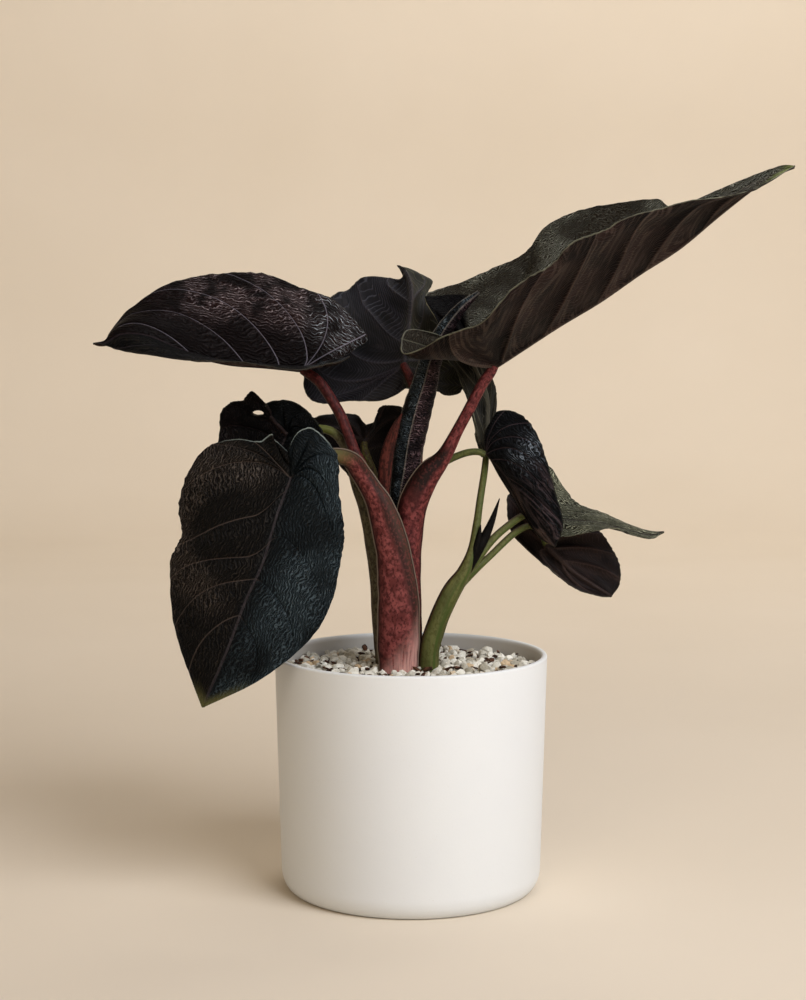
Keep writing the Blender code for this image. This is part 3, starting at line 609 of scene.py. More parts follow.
def leafUnderMaterial(name, look):
    # elephant ear leaf, lower face: matte plum brown tissue with raised paler veins
    material, add = newMaterial(name)
    look = {**usualUnder, **look}
    black = linear("#000000")
    veinTone = linear(look["veins"])
    place = add("place")
    offLateral, upRib, offMidrib, where, offMargin, side = leafPlaces(add)
    wide = add("noise", place, 1000 / 24, 3.0)
    netLine = add("band", netLines(add, place, offLateral, upRib, look), 0.45, 0.06)
    height = add("timesPlus", add("noise", place, 1000 / 0.9), 0.3, netLine)

    half = add("band", side, -0.12, 0.12)
    tissue = add("blend", half, *halves(look["tissue"]))
    dark = add("blend", look["deep"], tissue, black)
    colour = add("blend", add("band", wide, 0.60, 0.40), tissue, dark)
    streaks = ribStreaks(add, offLateral, upRib, side, wide)
    colour = add("blend", add("times", streaks, look["streaks"]), colour, veinTone)
    if "crease" in look:
        # painted light and shade where the tissue sags between two side veins: painted pale after one, painted
        # shade before the next
        creaseShade, pale = look["crease"]
        phase = add("minus", add("keptNumber", attribute_name="crease"), 0.3)
        phase = add("timesPlus", wide, 0.6, phase)
        colour = add("blend", add("times", add("band", phase, 0.35, 1.0), creaseShade), colour, black)
        after = add("times", add("band", phase, 0.42, -0.05), add("timesPlus", streaks, 0.6, 0.4))
        colour = add("blend", add("times", after, pale), colour, veinTone)
    # painted highlight beside a side vein, where the tissue bulges
    bulgeHighlight = add("times", add("band", offLateral, 5.0, 0.8), look["bulgeHighlight"])
    colour = add("blend", bulgeHighlight, colour, veinTone)
    show = add("times", add("times", netLine, look["netShow"]), add("band", wide, 0.30, 0.55))
    colour = add("blend", show, colour, add("blend", half, *halves(look.get("netTone", look["veins"]))))
    line = add("highest", add("band", offLateral, 0.5, 0.15), add("band", offMidrib, 1.1, 0.5))
    colour = add("blend", add("times", line, look["veinShow"]), colour, veinTone)
    rim = add("times", add("band", offMargin, 0.7, 0.3), look["rim"])
    colour = add("blend", rim, colour, linear("#6b6a58"))
    return finishMaterial(material, add, Base_Color=colour, Roughness=0.55, IOR=1.45,
                          Specular_IOR_Level=look["shine"], Normal=add("bump", 0.9, 0.00025, height))


def leafRimMaterial(tone):
    # the thin margin of a blade, where the dark skin ends in a dull line
    material, add = newMaterial("leaf margin " + tone)
    share = add("band", add("noise", add("place"), 1000 / 9), 0.35, 0.55)
    colour = add("blend", share, linear("#15130f"), linear(tone))
    return finishMaterial(material, add, Base_Color=colour, Roughness=0.5, Specular_IOR_Level=0.1)


rims = {tone: leafRimMaterial(tone) for tone in ("#2b2822", "#6a6a58", "#7d857e")}


def bladeSpot(blade, place, across):
    # a spot of the blade and the way up from its upper face; across runs from -1, right, to 1, left
    side = "left" if across > 0 else "right"
    margin = blade["margins"][side]
    rootPlace = stepped(ribRoots, place)
    spine = blade["spinePoints"]
    root = spine[1].lerp(spine[0], -rootPlace) if rootPlace < 0 else along(spine[1:], rootPlace)
    rib = along(margin, place) - root
    ahead = along(margin, place + 0.01) - along(margin, place - 0.01)
    up = rib.cross(ahead) if side == "right" else ahead.cross(rib)
    up.normalize()
    width = abs(across)
    fade = math.sin(math.pi * min(max(place, 0.0), 1.0))
    height, count = blade["wave"]
    swell = blade["belly"][0 if side == "right" else 1] * fade * 4 * width * (1 - width)
    ripple = height * fade * width ** 3 * math.sin(math.tau * count * place + 1.7 * across)
    reach = (root - spine[1]).length + rib.length + 200 * place
    high, apart = bladeGrid["crimp"]
    crimp = (blade.get("crimp", high) * fade * width ** 5
             * noise.noise(Vector((reach / apart, across, blade["belly"][0]))))
    spot = root + rib * width + up * (swell + ripple + crimp)
    out, apart = bladeGrid["uneven"]
    out = (blade.get("uneven", out) * fade * width ** 6
           * noise.noise(Vector((reach / apart, 3 * across, 7.0))))
    if side == "right" and "scallops" in blade:
        out += stepped(blade["scallops"], place) * width ** 4
    return spot + rib.normalized() * out, up, rib.length


def columnPlaces(veins, share):
    # (place at the spine, place at the margin) for a column this many side veins along
    index = min(int(share), len(veins) - 2)
    t = share - index
    t -= bladeGrid["crowding"] * math.sin(math.tau * t)
    return [veins[index][k] + (veins[index + 1][k] - veins[index][k]) * t for k in (0, 1)]


def shapeBlade(blade):
    # a grid of columns along the ribs, with what the materials need kept on its points
    g = bladeGrid
    sides = ("right", "left")
    spine = [Vector(p) for p in blade["spine"]]
    blade["spinePoints"] = spine
    blade["margins"] = {side: [spine[0], *[Vector(p) for p in blade[side]], spine[-1]] for side in sides}
    veins = {side: blade.get(side + "Veins", blade.get("veins", usualVeins)) for side in sides}
    gaps = len(veins["right"]) - 1
    reach = max(sum((b - a).length for a, b in zip(m, m[1:])) for m in blade["margins"].values())
    perGap = max(6, round(reach / gaps / g["step"]))
    halfWidth = max(bladeSpot(blade, 0.55, across)[2] for across in (-1, 1))
    rows = max(8, round(halfWidth / g["step"]))
    columns = gaps * perGap

    bm = bmesh.new()
    veinLayer = bm.verts.layers.float_vector.new("vein")
    edgeLayer = bm.verts.layers.float_vector.new("edge")
    creaseLayer = bm.verts.layers.float.new("crease")
    weights = bm.verts.layers.deform.verify()
    bmesh.ops.create_grid(bm, x_segments=columns, y_segments=2 * rows, size=1.0)
    table = {(round((vert.co.x + 1) / 2 * columns), round(vert.co.y * rows)): vert for vert in bm.verts}
    spots = {}
    for column, row in table:
        across = row / rows
        width = abs(across)
        share = column / perGap
        ends = {side: columnPlaces(veins[side], share) for side in sides}
        rootPlace, endPlace = ends["left" if across > 0 else "right"]
        common = (ends["right"][0] + ends["left"][0]) / 2
        leaving = min(width / g["leaving"], 1.0)
        root = common + (rootPlace - common) * leaving * (2 - leaving)
        bow = 0.10 * (endPlace - rootPlace) + 0.012
        place = root + (endPlace - root) * width
        place -= bow * 4 * width * (1 - width) * math.sin(math.pi * endPlace)
        spots[column, row] = bladeSpot(blade, place, across) + (place,)

    # distances to the nearest side vein, the midrib and the margin
    laterals = kdtree.KDTree(gaps * (2 * rows + 1))     # the first gap of columns lies along the notch
    steps = 400
    midrib = kdtree.KDTree(steps + 1)
    for column in range(2 * perGap, columns, perGap):
        for row in range(-rows, rows + 1):
            laterals.insert(spots[column, row][0], column)
    for step in range(steps + 1):
        midrib.insert(along(spine[1:], step / steps), step)
    laterals.balance()
    midrib.balance()
    for (column, row), vert in table.items():
        point, up, ribLength, place = spots[column, row]
        width = abs(row) / rows
        offLateral = laterals.find(point)[2]
        step, offMidrib = midrib.find(point)[1:]
        offMargin = ribLength * (1 - width)
        taper = 1 - 0.65 * step / steps         # the midrib thins towards the tip
        atLateral = math.exp(-(offLateral / g["lateralWidth"]) ** 2) * (1 - 0.6 * width)
        atMidrib = math.exp(-(offMidrib / (g["midribWidth"] * taper)) ** 2) * taper
        atMargin = math.exp(-(offMargin / g["marginReach"]) ** 2)
        inGap = abs(math.sin(math.pi * column / perGap)) ** 0.8
        inGap *= math.sin(math.pi * min(width * 1.15, 1.0)) * min(offMidrib / 6, 1.0)
        lift = g["quilt"] * blade.get("quilt", 1.0) * inGap
        lift -= max(g["lateralDepth"] * atLateral, g["midribDepth"] * atMidrib)
        lift += g["margin"] * atMargin
        vert.co = point + up * (lift + g["tissue"] / 2)
        thick = g["tissue"] * (1 - g["edgeThin"] * atMargin)
        ridge = max(g["lateralRidge"] * atLateral, g["midribRidge"] * atMidrib)
        vert[weights][0] = (thick + ridge * blade.get("ridges", 1.0)) / g["fullThickness"]
        vert[veinLayer] = (offLateral, ribLength * width, offMidrib)
        vert[edgeLayer] = (place, offMargin, row / rows)
        vert[creaseLayer] = column / perGap % 1.0       # from one side vein to the next
    bmesh.ops.remove_doubles(bm, verts=bm.verts, dist=0.02)
    return bm


def openHole(bm, centre, size):
    # a see-through gap where two lobes close over their notch: points inside it go, or move to its edge
    inside = []
    for vert in bm.verts:
        away = Vector((vert.co.x - centre[0], 0, vert.co.z - centre[2]))
        share = math.hypot(away.x / size[0], away.z / size[1])
        if share < 0.5:
            inside.append(vert)
        elif share < 1.0:
            vert.co += away * (1 / share - 1)
    bmesh.ops.delete(bm, geom=inside, context="VERTS")


def makeBlade(name, node, blade):
    bm = shapeBlade(blade)
    if "hole" in blade:
        openHole(bm, *blade["hole"])
    materials = [leafUpperMaterial(name + " upper skin", blade["upper"]),
                 leafUnderMaterial(name + " lower skin", blade["under"]),
                 rims[blade.get("rim", "#2b2822")]]
    shell = {"thickness": bladeGrid["fullThickness"] * mm, "offset": -1.0, "vertex_group": "thickness",
             "material_offset": 1, "material_offset_rim": 2}
    addPiece(name.replace(" ", "_"), bm, materials, node, shell)
    print(name, "grown")


for name, node, blade, slot in (
        ("left blade", "blade_left", bladeLeft, "leaf_black"),
        ("right blade", "blade_right", bladeRight, "leaf_brown"),
        ("back blade", "blade_back", bladeBack, "leaf_black"),
        ("front blade", "blade_front", bladeFront, "leaf_black"),
        ("blade behind the front one", "blade_behind_front", bladeBehindFront, "leaf_black"),
        ("low back blade", "blade_low_back", bladeLowBack, "leaf_black"),
        ("strip blade", "blade_strip", bladeStrip, "leaf_green"),
        ("folded blade", "blade_folded", bladeFolded, "leaf_black"),
        ("curled blade", "blade_curled", bladeCurled, "leaf_green"),
        ("lowest blade", "blade_lowest", bladeLowest, "leaf_brown")):
    makeBlade(name, node, blade)


# Stalks: oval tubes along the same routes, with sheath wings and mottled skin

stalkGrid = {
    "step": 1.6,            # mm between rings
    "sides": 36,
    "wingedSides": 96,
    "start": 116.0,         # mm, how high a stalk begins inside the mix
    "wingWidth": 0.65,      # mm
}

# The points of a route hold x, y, z and the half width in mm, or both half widths, across and then from
# front to back, where they differ. Wings are (degrees from the front, mm high, share of the route).
# Skins have a face with streaks and blotches in it. The back is a flank from one turn to another round
# the stalk, with its own tones; each shift moves its first turn by (turns, from, to), and backUp is (where
# it starts, where it fades, where it ends), with heights in decimetres. The top tone comes in between
# two heights, shade is painted shade on the left side, foot pales the foot, heart is a stripe up the
# middle and crest the edge of the wings, which have a painted shadow line beside them.
redSkin = {"face": "#582624", "streak": "#3c1716", "blotch": "#200a0a", "shade": "#1c0c0a"}

stalkFront = {
    "route": [(-7, -15, 124, 10.0, 4.5), (-7, -15, 139, 11.0, 4.6), (-7, -15, 161, 10.5, 4.6),
              (-9, -14.5, 183, 9.0, 4.5), (-12.5, -14, 199, 8.0, 4.4), (-17, -14, 213, 6.5, 4.3),
              (-22, -14, 222, 5.2, 4.2), (-27, -15, 230, 4.8, 4.1), (-32, -19, 237, 4.3, 3.9),
              (-40, -26, 240, 3.8, 3.6), (-51, -36, 239, 3.2, 3.0), (-61.5, -44.5, 232, 2.1, 2.0)],
    "wings": [(84, 1.0, 0.95), (-78, 1.0, 0.8)],
    "skin": {"face": "#7b403d", "streak": "#572725", "blotch": "#280c0d", "back": "#2c1814",
             "backBlotch": "#5c2c28", "backOuter": "#3e2b22", "backTurns": (0.68, 1.2),
             "backShifts": [(-0.18, 0.18, 0.72), (0.06, 0.8, 1.0)], "top": "#54502c",
             "topFrom": (1.22, 1.5), "foot": "#c69a90", "shade": "#2a110f"},
}
stalkBehindFront = {
    "route": [(-15, 3, 121, 4.5), (-17, 3, 148, 4.6), (-18, 3, 168, 4.7), (-20.5, 3, 189, 4.7),
              (-24, 3, 209, 4.7), (-29, 3, 224, 4.3, 4.2), (-33, 3, 237, 3.2), (-37.5, 2, 246, 2.6),
              (-43, -1, 252, 2.4), (-51, -5, 254, 2.2), (-60, -10, 253, 2.0), (-67, -14.5, 251, 1.8)],
    "wings": [(60, 0.5, 0.6)],
    "skin": {"face": "#5f5a44", "streak": "#504a38", "blotch": "#332a20", "top": "#4c4f22",
             "shade": "#3a2a1e", "topFrom": (1.15, 1.35)},
}
stalkLeft = {
    "route": [(-11.5, -5, 122, 3.2), (-12.5, -5, 154, 3.2), (-15, -5, 182, 3.2), (-18, -5, 204, 3.2),
              (-22.5, -5, 220.5, 3.1), (-27, -5, 234, 3.1), (-31, -4.5, 242, 3.0),
              (-37.5, -3, 259, 3.0), (-43, -1, 269, 2.9), (-50, 0, 279, 2.9), (-59, 2, 286, 2.8)],
    "skin": redSkin,
}
stalkRight = {
    "route": [(-1, -2, 122, 7.0), (-1.5, -2, 149, 7.0), (-2, -2, 171, 7.0), (-1.5, -2, 187, 7.0),
              (-0.5, -2, 201, 7.2, 7.0), (1, -2, 212, 7.6, 6.8), (5.5, -2, 222, 7.2, 6.2),
              (10.5, -2, 230, 6.4, 5.4), (17.5, -2, 238, 4.4, 4.2), (25, -1.5, 252, 3.2, 3.3),
              (32.5, -1, 266, 3.1), (38.5, -0.5, 277.5, 3.1), (43, 0, 284, 3.0), (45, 0, 288, 2.8)],
    "wings": [(-80, 1.0, 0.66), (76, 0.7, 0.5)],
    "skin": {"face": "#6f3533", "streak": "#4a1e1e", "blotch": "#220909", "back": "#2c1c14",
             "backOuter": "#190c09", "backTurns": (0.14, 0.55), "backUp": (0.84, 1.2, 1.27),
             "shade": "#1a0d0a", "backBlotch": "#4e2220"},
}
stalkBack = {
    "route": [(-2, 14.5, 119, 3.0), (-2, 15, 157, 3.0), (0, 16, 191, 3.0), (3, 16.5, 224, 3.0),
              (4, 18, 258, 2.9), (2, 16.5, 273, 2.7), (-1, 17, 282, 2.5), (-4, 23, 288, 2.2)],
    "skin": redSkin,
}
stalkLowBack = {
    "route": [(-12, 14, 119, 2.8), (-14, 15, 157, 2.8), (-17, 15, 191, 2.7), (-20.5, 15, 224.5, 2.6),
              (-24, 15.5, 236, 2.3), (-26, 17, 242, 2.0), (-26, 20, 245, 1.7)],
    "skin": {"face": "#4a4a22", "streak": "#3a2b1c", "blotch": "#23150f"},
}
stalkFolded = {
    "route": [(2.5, 8.5, 120, 2.3), (0.5, 8.5, 158, 2.3), (0.5, 9, 192, 2.2), (3.5, 9.5, 211, 2.2),
              (8, 9.5, 222, 2.1), (15, 9.5, 232, 2.1), (23, 9.5, 237, 2.0), (31, 9, 240, 2.0),
              (37, 8.5, 240.5, 1.9), (41, 8, 239, 1.8)],
    "skin": {"face": "#565a30", "streak": "#454b27", "blotch": "#383b22", "patches": 5.0},
}
sheathSpike = {
    "route": [(-7, 8, 197, 1.6, 1.2), (-12, 4, 205, 2.0, 1.3), (-14.5, 1.5, 214, 2.6, 1.4),
              (-14.5, 0, 227, 3.4, 1.5), (-12.5, -1, 242, 3.2, 1.4), (-9, -2, 253, 2.2, 1.1),
              (-5, -3, 262, 0.4, 0.3)],
    "wings": [(-74, 0.4, 0.97), (80, 0.3, 0.9)],
    "skin": {"face": "#51251e", "streak": "#2c110d", "blotch": "#180806", "patches": 8.0,
             "crest": "#8f7d68"},
}
sideShoot = {
    "routes": [
        [(9.5, -11, 123, 5.7), (10.5, -11, 136, 5.6), (16, -10, 152.5, 5.4, 5.2),
         (22.5, -9, 166, 5.2, 5.0), (29, -8, 176, 3.8), (33.5, -6, 187.5, 2.7), (36, -2, 201, 2.2),
         (38, 4, 214, 2.0), (40.5, 12, 227.5, 1.9), (42, 18, 238, 1.8)],
        [(24, -8.5, 168, 3.4, 3.2), (37, -5, 184, 2.5), (44.5, 0, 192.5, 2.2), (52, 6, 198.5, 2.1),
         (61, 13, 204, 2.0), (68, 18, 206, 1.8)],
        [(24, -8.5, 167, 3.2, 3.0), (36.5, -4, 178, 2.2), (44, 1, 184, 1.9), (51.5, 7, 190.5, 1.9),
         (59, 13, 196, 1.9), (66.5, 18, 198.5, 1.8), (72.5, 21, 195, 1.7), (76, 24, 187, 1.6)],
    ],
    "wings": [(-70, 0.4, 0.5)],
    "sides": 48, "spearSides": 20,
    "spears": [
        [(28, -8.5, 172, 2.6, 2.4), (36, -7, 187, 3.0, 1.8), (40.5, -5, 195, 2.6, 1.5),
         (44.5, -3, 204, 1.7, 1.2), (48.5, -1, 215.5, 0.3)],
        [(29, -8.5, 174, 2.2, 2.0), (34.5, -7.5, 186, 2.6, 1.6), (36.8, -6.5, 194, 1.7, 1.2),
         (38.0, -5.5, 201.5, 0.3)],
    ],
    "skin": {"face": "#585931", "streak": "#494d29", "blotch": "#41401f", "back": "#3c2a1f",
             "backTurns": (0.1, 0.36), "heart": "#3d4a20", "heartAt": 0.56, "patches": 5.0},
    "spearSkin": {"face": "#0d0a08", "streak": "#090705", "blotch": "#050403", "shine": 0.06},
}


def stalkMaterial(name, look):
    # fresh leaf stalk: smooth waxy skin, freckled darker in short strokes that run up the stalk
    material, add = newMaterial(name)
    around, up = add("split", add("skin"))[:2]      # turns round the stalk and decimetres up it
    freckle = add("noise", add("stretch", add("place"), (1.0, 1.0, 0.75)), 1000 / 1.4, 3.0)
    # strokes: so many round the stalk and so many in a decimetre of it
    patches = add("join", add("times", around, 14.0), add("times", up, look.get("patches", 26.0)))
    patch = add("noise", patches, 1.0, 3.0)
    lines = add("noise", add("join", add("times", around, 60.0), add("times", up, 6.0)), 1.0, 2.0)
    colour = add("blend", add("band", patch, 0.38, 0.62), linear(look["face"]), linear(look["streak"]))
    blotches = add("times", add("band", freckle, 0.46, 0.62), 0.68)
    colour = add("blend", blotches, colour, linear(look["blotch"]))
    if "back" in look:
        # the flank, from one turn to another, is another colour; it widens over some height
        low, high = look["backTurns"]
        for lift, fromUp, toUp in look.get("backShifts", ()):
            low = add("plus", low, add("range", up, 0.0, lift, From_Min=fromUp, From_Max=toUp))
        within = add("minus", around, low)
        flank = add("times", add("band", within, -0.03, 0.03),
                    add("band", around, high + 0.03, high - 0.03))
        if "backUp" in look:
            foot, low, high = look["backUp"]
            flank = add("times", flank, add("band", up, high, low))
            flank = add("times", flank, add("band", up, foot - 0.12, foot + 0.12))
        back = add("blend", add("band", within, 0.02, 0.16), linear(look["back"]),
                   linear(look.get("backOuter", look["back"])))
        blotches = add("times", add("band", freckle, 0.48, 0.62), 0.6)
        back = add("blend", blotches, back, linear(look.get("backBlotch", look["blotch"])))
        colour = add("blend", flank, colour, back)
    if "heart" in look:
        # a darker stripe up the middle of the face
        apart = add("absolute", add("minus", around, look["heartAt"]))
        stripe = add("times", add("band", apart, 0.075, 0.02), add("band", patch, 0.3, 0.6))
        colour = add("blend", stripe, colour, linear(look["heart"]))
    if "shade" in look:
        # painted shade: the skin darkens towards the stalk's left side
        shade = add("times", add("band", around, 0.42, 0.30), 0.7)
        colour = add("blend", shade, colour, linear(look["shade"]))
    if "foot" in look:
        # the skin pales at the foot, more at the right
        lift = add("timesPlus", add("minus", around, 0.5), -0.65, up)
        pale = add("times", add("band", lift, 0.30, 0.11), add("band", lines, 0.24, 0.56))
        colour = add("blend", add("times", pale, 0.68), colour, linear(look["foot"]))
    if "top" in look:
        colour = add("blend", add("band", up, *look["topFrom"]), colour, linear(look["top"]))
    wing = add("keptNumber", attribute_name="wing")
    # painted shadow: a dark line along each side of a wing's crest
    colour = add("blend", add("times", add("band", wing, 0.04, 0.16), 0.6), colour, linear("#150b09"))
    colour = add("blend", add("band", wing, 0.40, 0.62), colour, linear(look.get("crest", "#5f5347")))
    height = add("timesPlus", lines, 0.6, add("times", freckle, 0.5))
    return finishMaterial(material, add, Base_Color=colour, Roughness=0.52, IOR=1.42,
                          Specular_IOR_Level=look.get("shine", 0.16), Subsurface_Weight=0.06,
                          Subsurface_Radius=(0.002, 0.001, 0.0006),
                          Normal=add("bump", 0.7, 0.0003, height))


def routePoints(route):
    # the middles and half widths along a route, and its length
    centres = [Vector(p[:3]) for p in route]
    sizes = [Vector((p[3], p[-1], 0)) for p in route]
    return centres, sizes, sum((b - a).length for a, b in zip(centres, centres[1:]))


def ovalSpot(centres, sizes, share, turn):
    # the oval at this share of the route: its middle, its half widths and the way out to its edge;
    # turn 0 faces the front and a quarter turn on faces the photo's right
    centre = along(centres, share)
    size = along(sizes, share)
    heading = (along(centres, share + 0.01) - along(centres, share - 0.01)).normalized()
    front = Vector((0, -1, 0))
    front = (front - heading * front.dot(heading)).normalized()
    across = heading.cross(front)
    return centre, size, across * (math.sin(turn) * size.x) + front * (math.cos(turn) * size.y)


def addStalk(bm, route, wings=(), sides=None, sink=True):
    # one closed tube of oval rings, bent from a grid; one that sinks goes on down into the mix
    sides = sides or stalkGrid["wingedSides" if wings else "sides"]
    if sink:
        route = [(*route[0][:2], stalkGrid["start"], *route[0][3:])] + route
    centres, sizes, length = routePoints(route)
    rings = max(12, round(length / stalkGrid["step"]))
    skin = bm.loops.layers.uv.get("skin") or bm.loops.layers.uv.new("skin")
    wingLayer = bm.verts.layers.float.get("wing") or bm.verts.layers.float.new("wing")
    made = bmesh.ops.create_grid(bm, x_segments=sides, y_segments=rings, size=1.0)["verts"]
    for face in {face for vert in made for face in vert.link_faces}:
        for loop in face.loops:
            loop[skin].uv = ((loop.vert.co.x + 1) / 2, (loop.vert.co.y + 1) / 2 * length / 100)
    for vert in made:
        turn = vert.co.x * math.pi
        share = (vert.co.y + 1) / 2
        centre, size, flat = ovalSpot(centres, sizes, share, turn)
        stretch = 0.0
        for degrees, height, end in wings:
            apart = (turn - math.radians(degrees)) * (size.x + size.y) / 2
            at = math.exp(-(apart / stalkGrid["wingWidth"]) ** 2)
            at *= min(1.0, max(0.0, (end - share) / 0.05))
            stretch = max(stretch, at * height)
        wobble = 0.05 * noise.noise(Vector((centre.x / 9, centre.z / 9, turn)))
        vert.co = centre + flat * (1 + wobble) + flat.normalized() * stretch
        vert[wingLayer] = stretch
    bmesh.ops.remove_doubles(bm, verts=made, dist=0.01)
    bmesh.ops.holes_fill(bm, edges=[edge for edge in bm.edges if edge.is_boundary])


def makeStalk(name, node, stalk):
    bm = bmesh.new()
    addStalk(bm, stalk["route"], stalk.get("wings", ()), sink=node != "sheath_spike")
    bmesh.ops.recalc_face_normals(bm, faces=bm.faces)
    addPiece(name.replace(" ", "_"), bm, [stalkMaterial(name + " skin", stalk["skin"])], node)
    print(name, "grown")


def makeSideShoot():
    bm = bmesh.new()
    for index, route in enumerate(sideShoot["routes"]):
        addStalk(bm, route, [] if index else sideShoot["wings"], sideShoot["sides"], sink=index == 0)
    bmesh.ops.recalc_face_normals(bm, faces=bm.faces)
    skin = stalkMaterial("side shoot skin", sideShoot["skin"])
    addPiece("side_shoot_stalks", bm, [skin], "side_shoot")

    bm = bmesh.new()
    for route in sideShoot["spears"]:
        addStalk(bm, route, sides=sideShoot["spearSides"], sink=False)
    bmesh.ops.recalc_face_normals(bm, faces=bm.faces)
    skin = stalkMaterial("spear skin", sideShoot["spearSkin"])
    addPiece("side_shoot_spears", bm, [skin])
    print("side shoot grown")


for name, node, stalk, slot in (
        ("front stalk", "stalk_front", stalkFront, "stalk_red"),
        ("stalk behind the front one", "stalk_behind_front", stalkBehindFront, "stalk_olive"),
        ("left stalk", "stalk_left", stalkLeft, "stalk_red"),
        ("right stalk", "stalk_right", stalkRight, "stalk_red"),
        ("back stalk", "stalk_back", stalkBack, "stalk_red"),
        ("low back stalk", "stalk_low_back", stalkLowBack, "stalk_olive"),
        ("folded blade stalk", "stalk_folded", stalkFolded, "stalk_green"),
        ("dry sheath", "sheath_spike", sheathSpike, "stalk_red")):
    makeStalk(name, node, stalk)
makeSideShoot()


# Young leaf: one scroll, its outer edge lying over the inner turns

youngLeaf = {
    "route": [(-7, 8, 120, 3.2), (-7, 8, 158, 3.2), (-7, 8, 192, 3.4), (-6, 7.5, 214, 5.0, 4.4),
              (-3, 6.5, 231, 7.0, 5.8), (-0.5, 5.5, 247, 7.8, 6.2), (3.5, 4.5, 264, 7.6, 6.0),
              (7.5, 3.5, 277.5, 6.6, 5.4), (11, 3, 291, 5.4, 4.6), (17.5, 3.5, 306, 4.2, 3.6),
              (27, 4.5, 319, 2.6, 2.4), (37, 6, 328, 0.6)],
    "outside": {"tint": ("#140b0c", "#0f1417"), "sheen": ("#6a5256", "#5c6a72"),
                "veins": ("#5a484c", "#3c454c"), "dark": "#050506", "margin": "#8d877e",
                "marginShow": (0.3, 2.0), "net": 2.2, "curl": 4.0, "stray": 1.8, "chevron": 0.6,
                "least": 0.1, "most": 0.7, "veinShow": 0.4, "finer": 0.5, "patches": 14.0},
    "inside": {"tissue": "#0d0d10", "veins": "#3c3a3e"},
    "turns": 1.45,
    "edgeAt": -8,           # degrees from the front where the outer edge lies
    "seam": 0.535,          # how far round the scroll the other half's edge shows, at the left side
    "inward": 0.24,         # how much narrower the inner end of the scroll is
    "lip": 0.7,             # mm that the seam stands up
    "quilt": 0.3,           # mm that the tissue domes up between two ribs
    "ribs": 26,
    "ribSlant": 2.6,        # ribs crossed on the way round
    "thickness": 0.6,       # mm
    "columns": 110,
    "rings": 150,
}


def makeYoungLeaf():
    y = youngLeaf
    centres, sizes, length = routePoints(y["route"])
    bm = bmesh.new()
    veinLayer = bm.verts.layers.float_vector.new("vein")
    edgeLayer = bm.verts.layers.float_vector.new("edge")
    bmesh.ops.create_grid(bm, x_segments=y["columns"], y_segments=y["rings"], size=1.0)
    for vert in bm.verts:
        around = (vert.co.x + 1) / 2        # 0 at the outer edge, 1 at the inner end
        share = (vert.co.y + 1) / 2
        turn = math.radians(y["edgeAt"]) + math.tau * y["turns"] * around
        centre, size, flat = ovalSpot(centres, sizes, share, turn)
        spread = size.x * math.tau * y["turns"]
        ribPhase = (share * y["ribs"] - around * y["ribSlant"]) % 1.0
        quilt = y["quilt"] * math.sin(math.pi * ribPhase) * min(1.0, size.x / 6)
        fromSeam = abs(around - y["seam"]) * spread
        lip = y["lip"] * math.exp(-(fromSeam / 0.7) ** 2) * min(1.0, size.x / 5)
        vert.co = centre + flat * (1 - y["inward"] * around) + flat.normalized() * (quilt + lip)
        offLateral = min(ribPhase, 1 - ribPhase) * length / y["ribs"]
        vert[veinLayer] = (offLateral, share * length, 20.0)
        vert[edgeLayer] = (share, min(around * spread, fromSeam), 1.0 if around > 0.3 else -1.0)
    bmesh.ops.reverse_faces(bm, faces=bm.faces)
    materials = [leafUnderMaterial("young leaf inside", y["inside"]),
                 leafUpperMaterial("young leaf outside", y["outside"]), rims["#7d857e"]]
    shell = {"thickness": y["thickness"] * mm, "offset": -1.0,
             "material_offset": 1, "material_offset_rim": 2}
    addPiece("young_leaf_scroll", bm, materials, "young_leaf", shell)
    print("young leaf rolled")


makeYoungLeaf()


# Pot: turned wall with a rounded foot and lip

potShape = {
    "height": 130.0,        # mm
    "topRadius": 75.0,
    "footRadius": 71.5,
    "wall": 3.0,
    "floor": 6.0,
    "footRounding": 11.5,   # mm of height over which the foot's edge is rounded
    "footInset": 6.8,       # mm of radius that it draws in
    "insideRounding": 5.0,
    "lipRounding": 1.2,
    "steps": 160,
}
potTaper = (potShape["topRadius"] - potShape["footRadius"]) / potShape["height"]


def potRadius(height):
    return potShape["footRadius"] + potTaper * height


def potMaterial():
    # matt white stoneware: a dry eggshell glaze, very slightly uneven, warm where it thins
    material, add = newMaterial("matt white stoneware")
    place = add("place")
    cloud = add("noise", place, 1000 / 70, 4.0)
    speck = add("noise", place, 1000 / 0.7, 1.0)
    colour = add("blend", cloud, linear("#d5d8da"), linear("#dcdfde"))
    # painted shade: the inner wall is painted grey a little way below the lip
    height = add("split", place)[2]
    middle = (potShape["footRadius"] - potShape["wall"] / 2) * mm
    reach = add("timesPlus", height, -potTaper, add("length", add("stretch", place, (1.0, 1.0, 0.0))))
    inside = add("times", add("band", height, 0.1295, 0.127), add("band", height, 0.09, 0.10))
    inside = add("times", inside, add("band", reach, middle, middle - 1.0 * mm))
    colour = add("blend", inside, colour, linear("#b7b5af"))
    colour = add("blend", add("times", add("band", speck, 0.70, 0.78), 0.18), colour, linear("#b9ad9c"))
    return finishMaterial(material, add, Base_Color=colour, Roughness=add("range", cloud, 0.5, 0.62),
                          IOR=1.5, Specular_IOR_Level=0.4,
                          Normal=add("bump", 0.25, 0.0001, add("noise", place, 1000 / 1.25)))


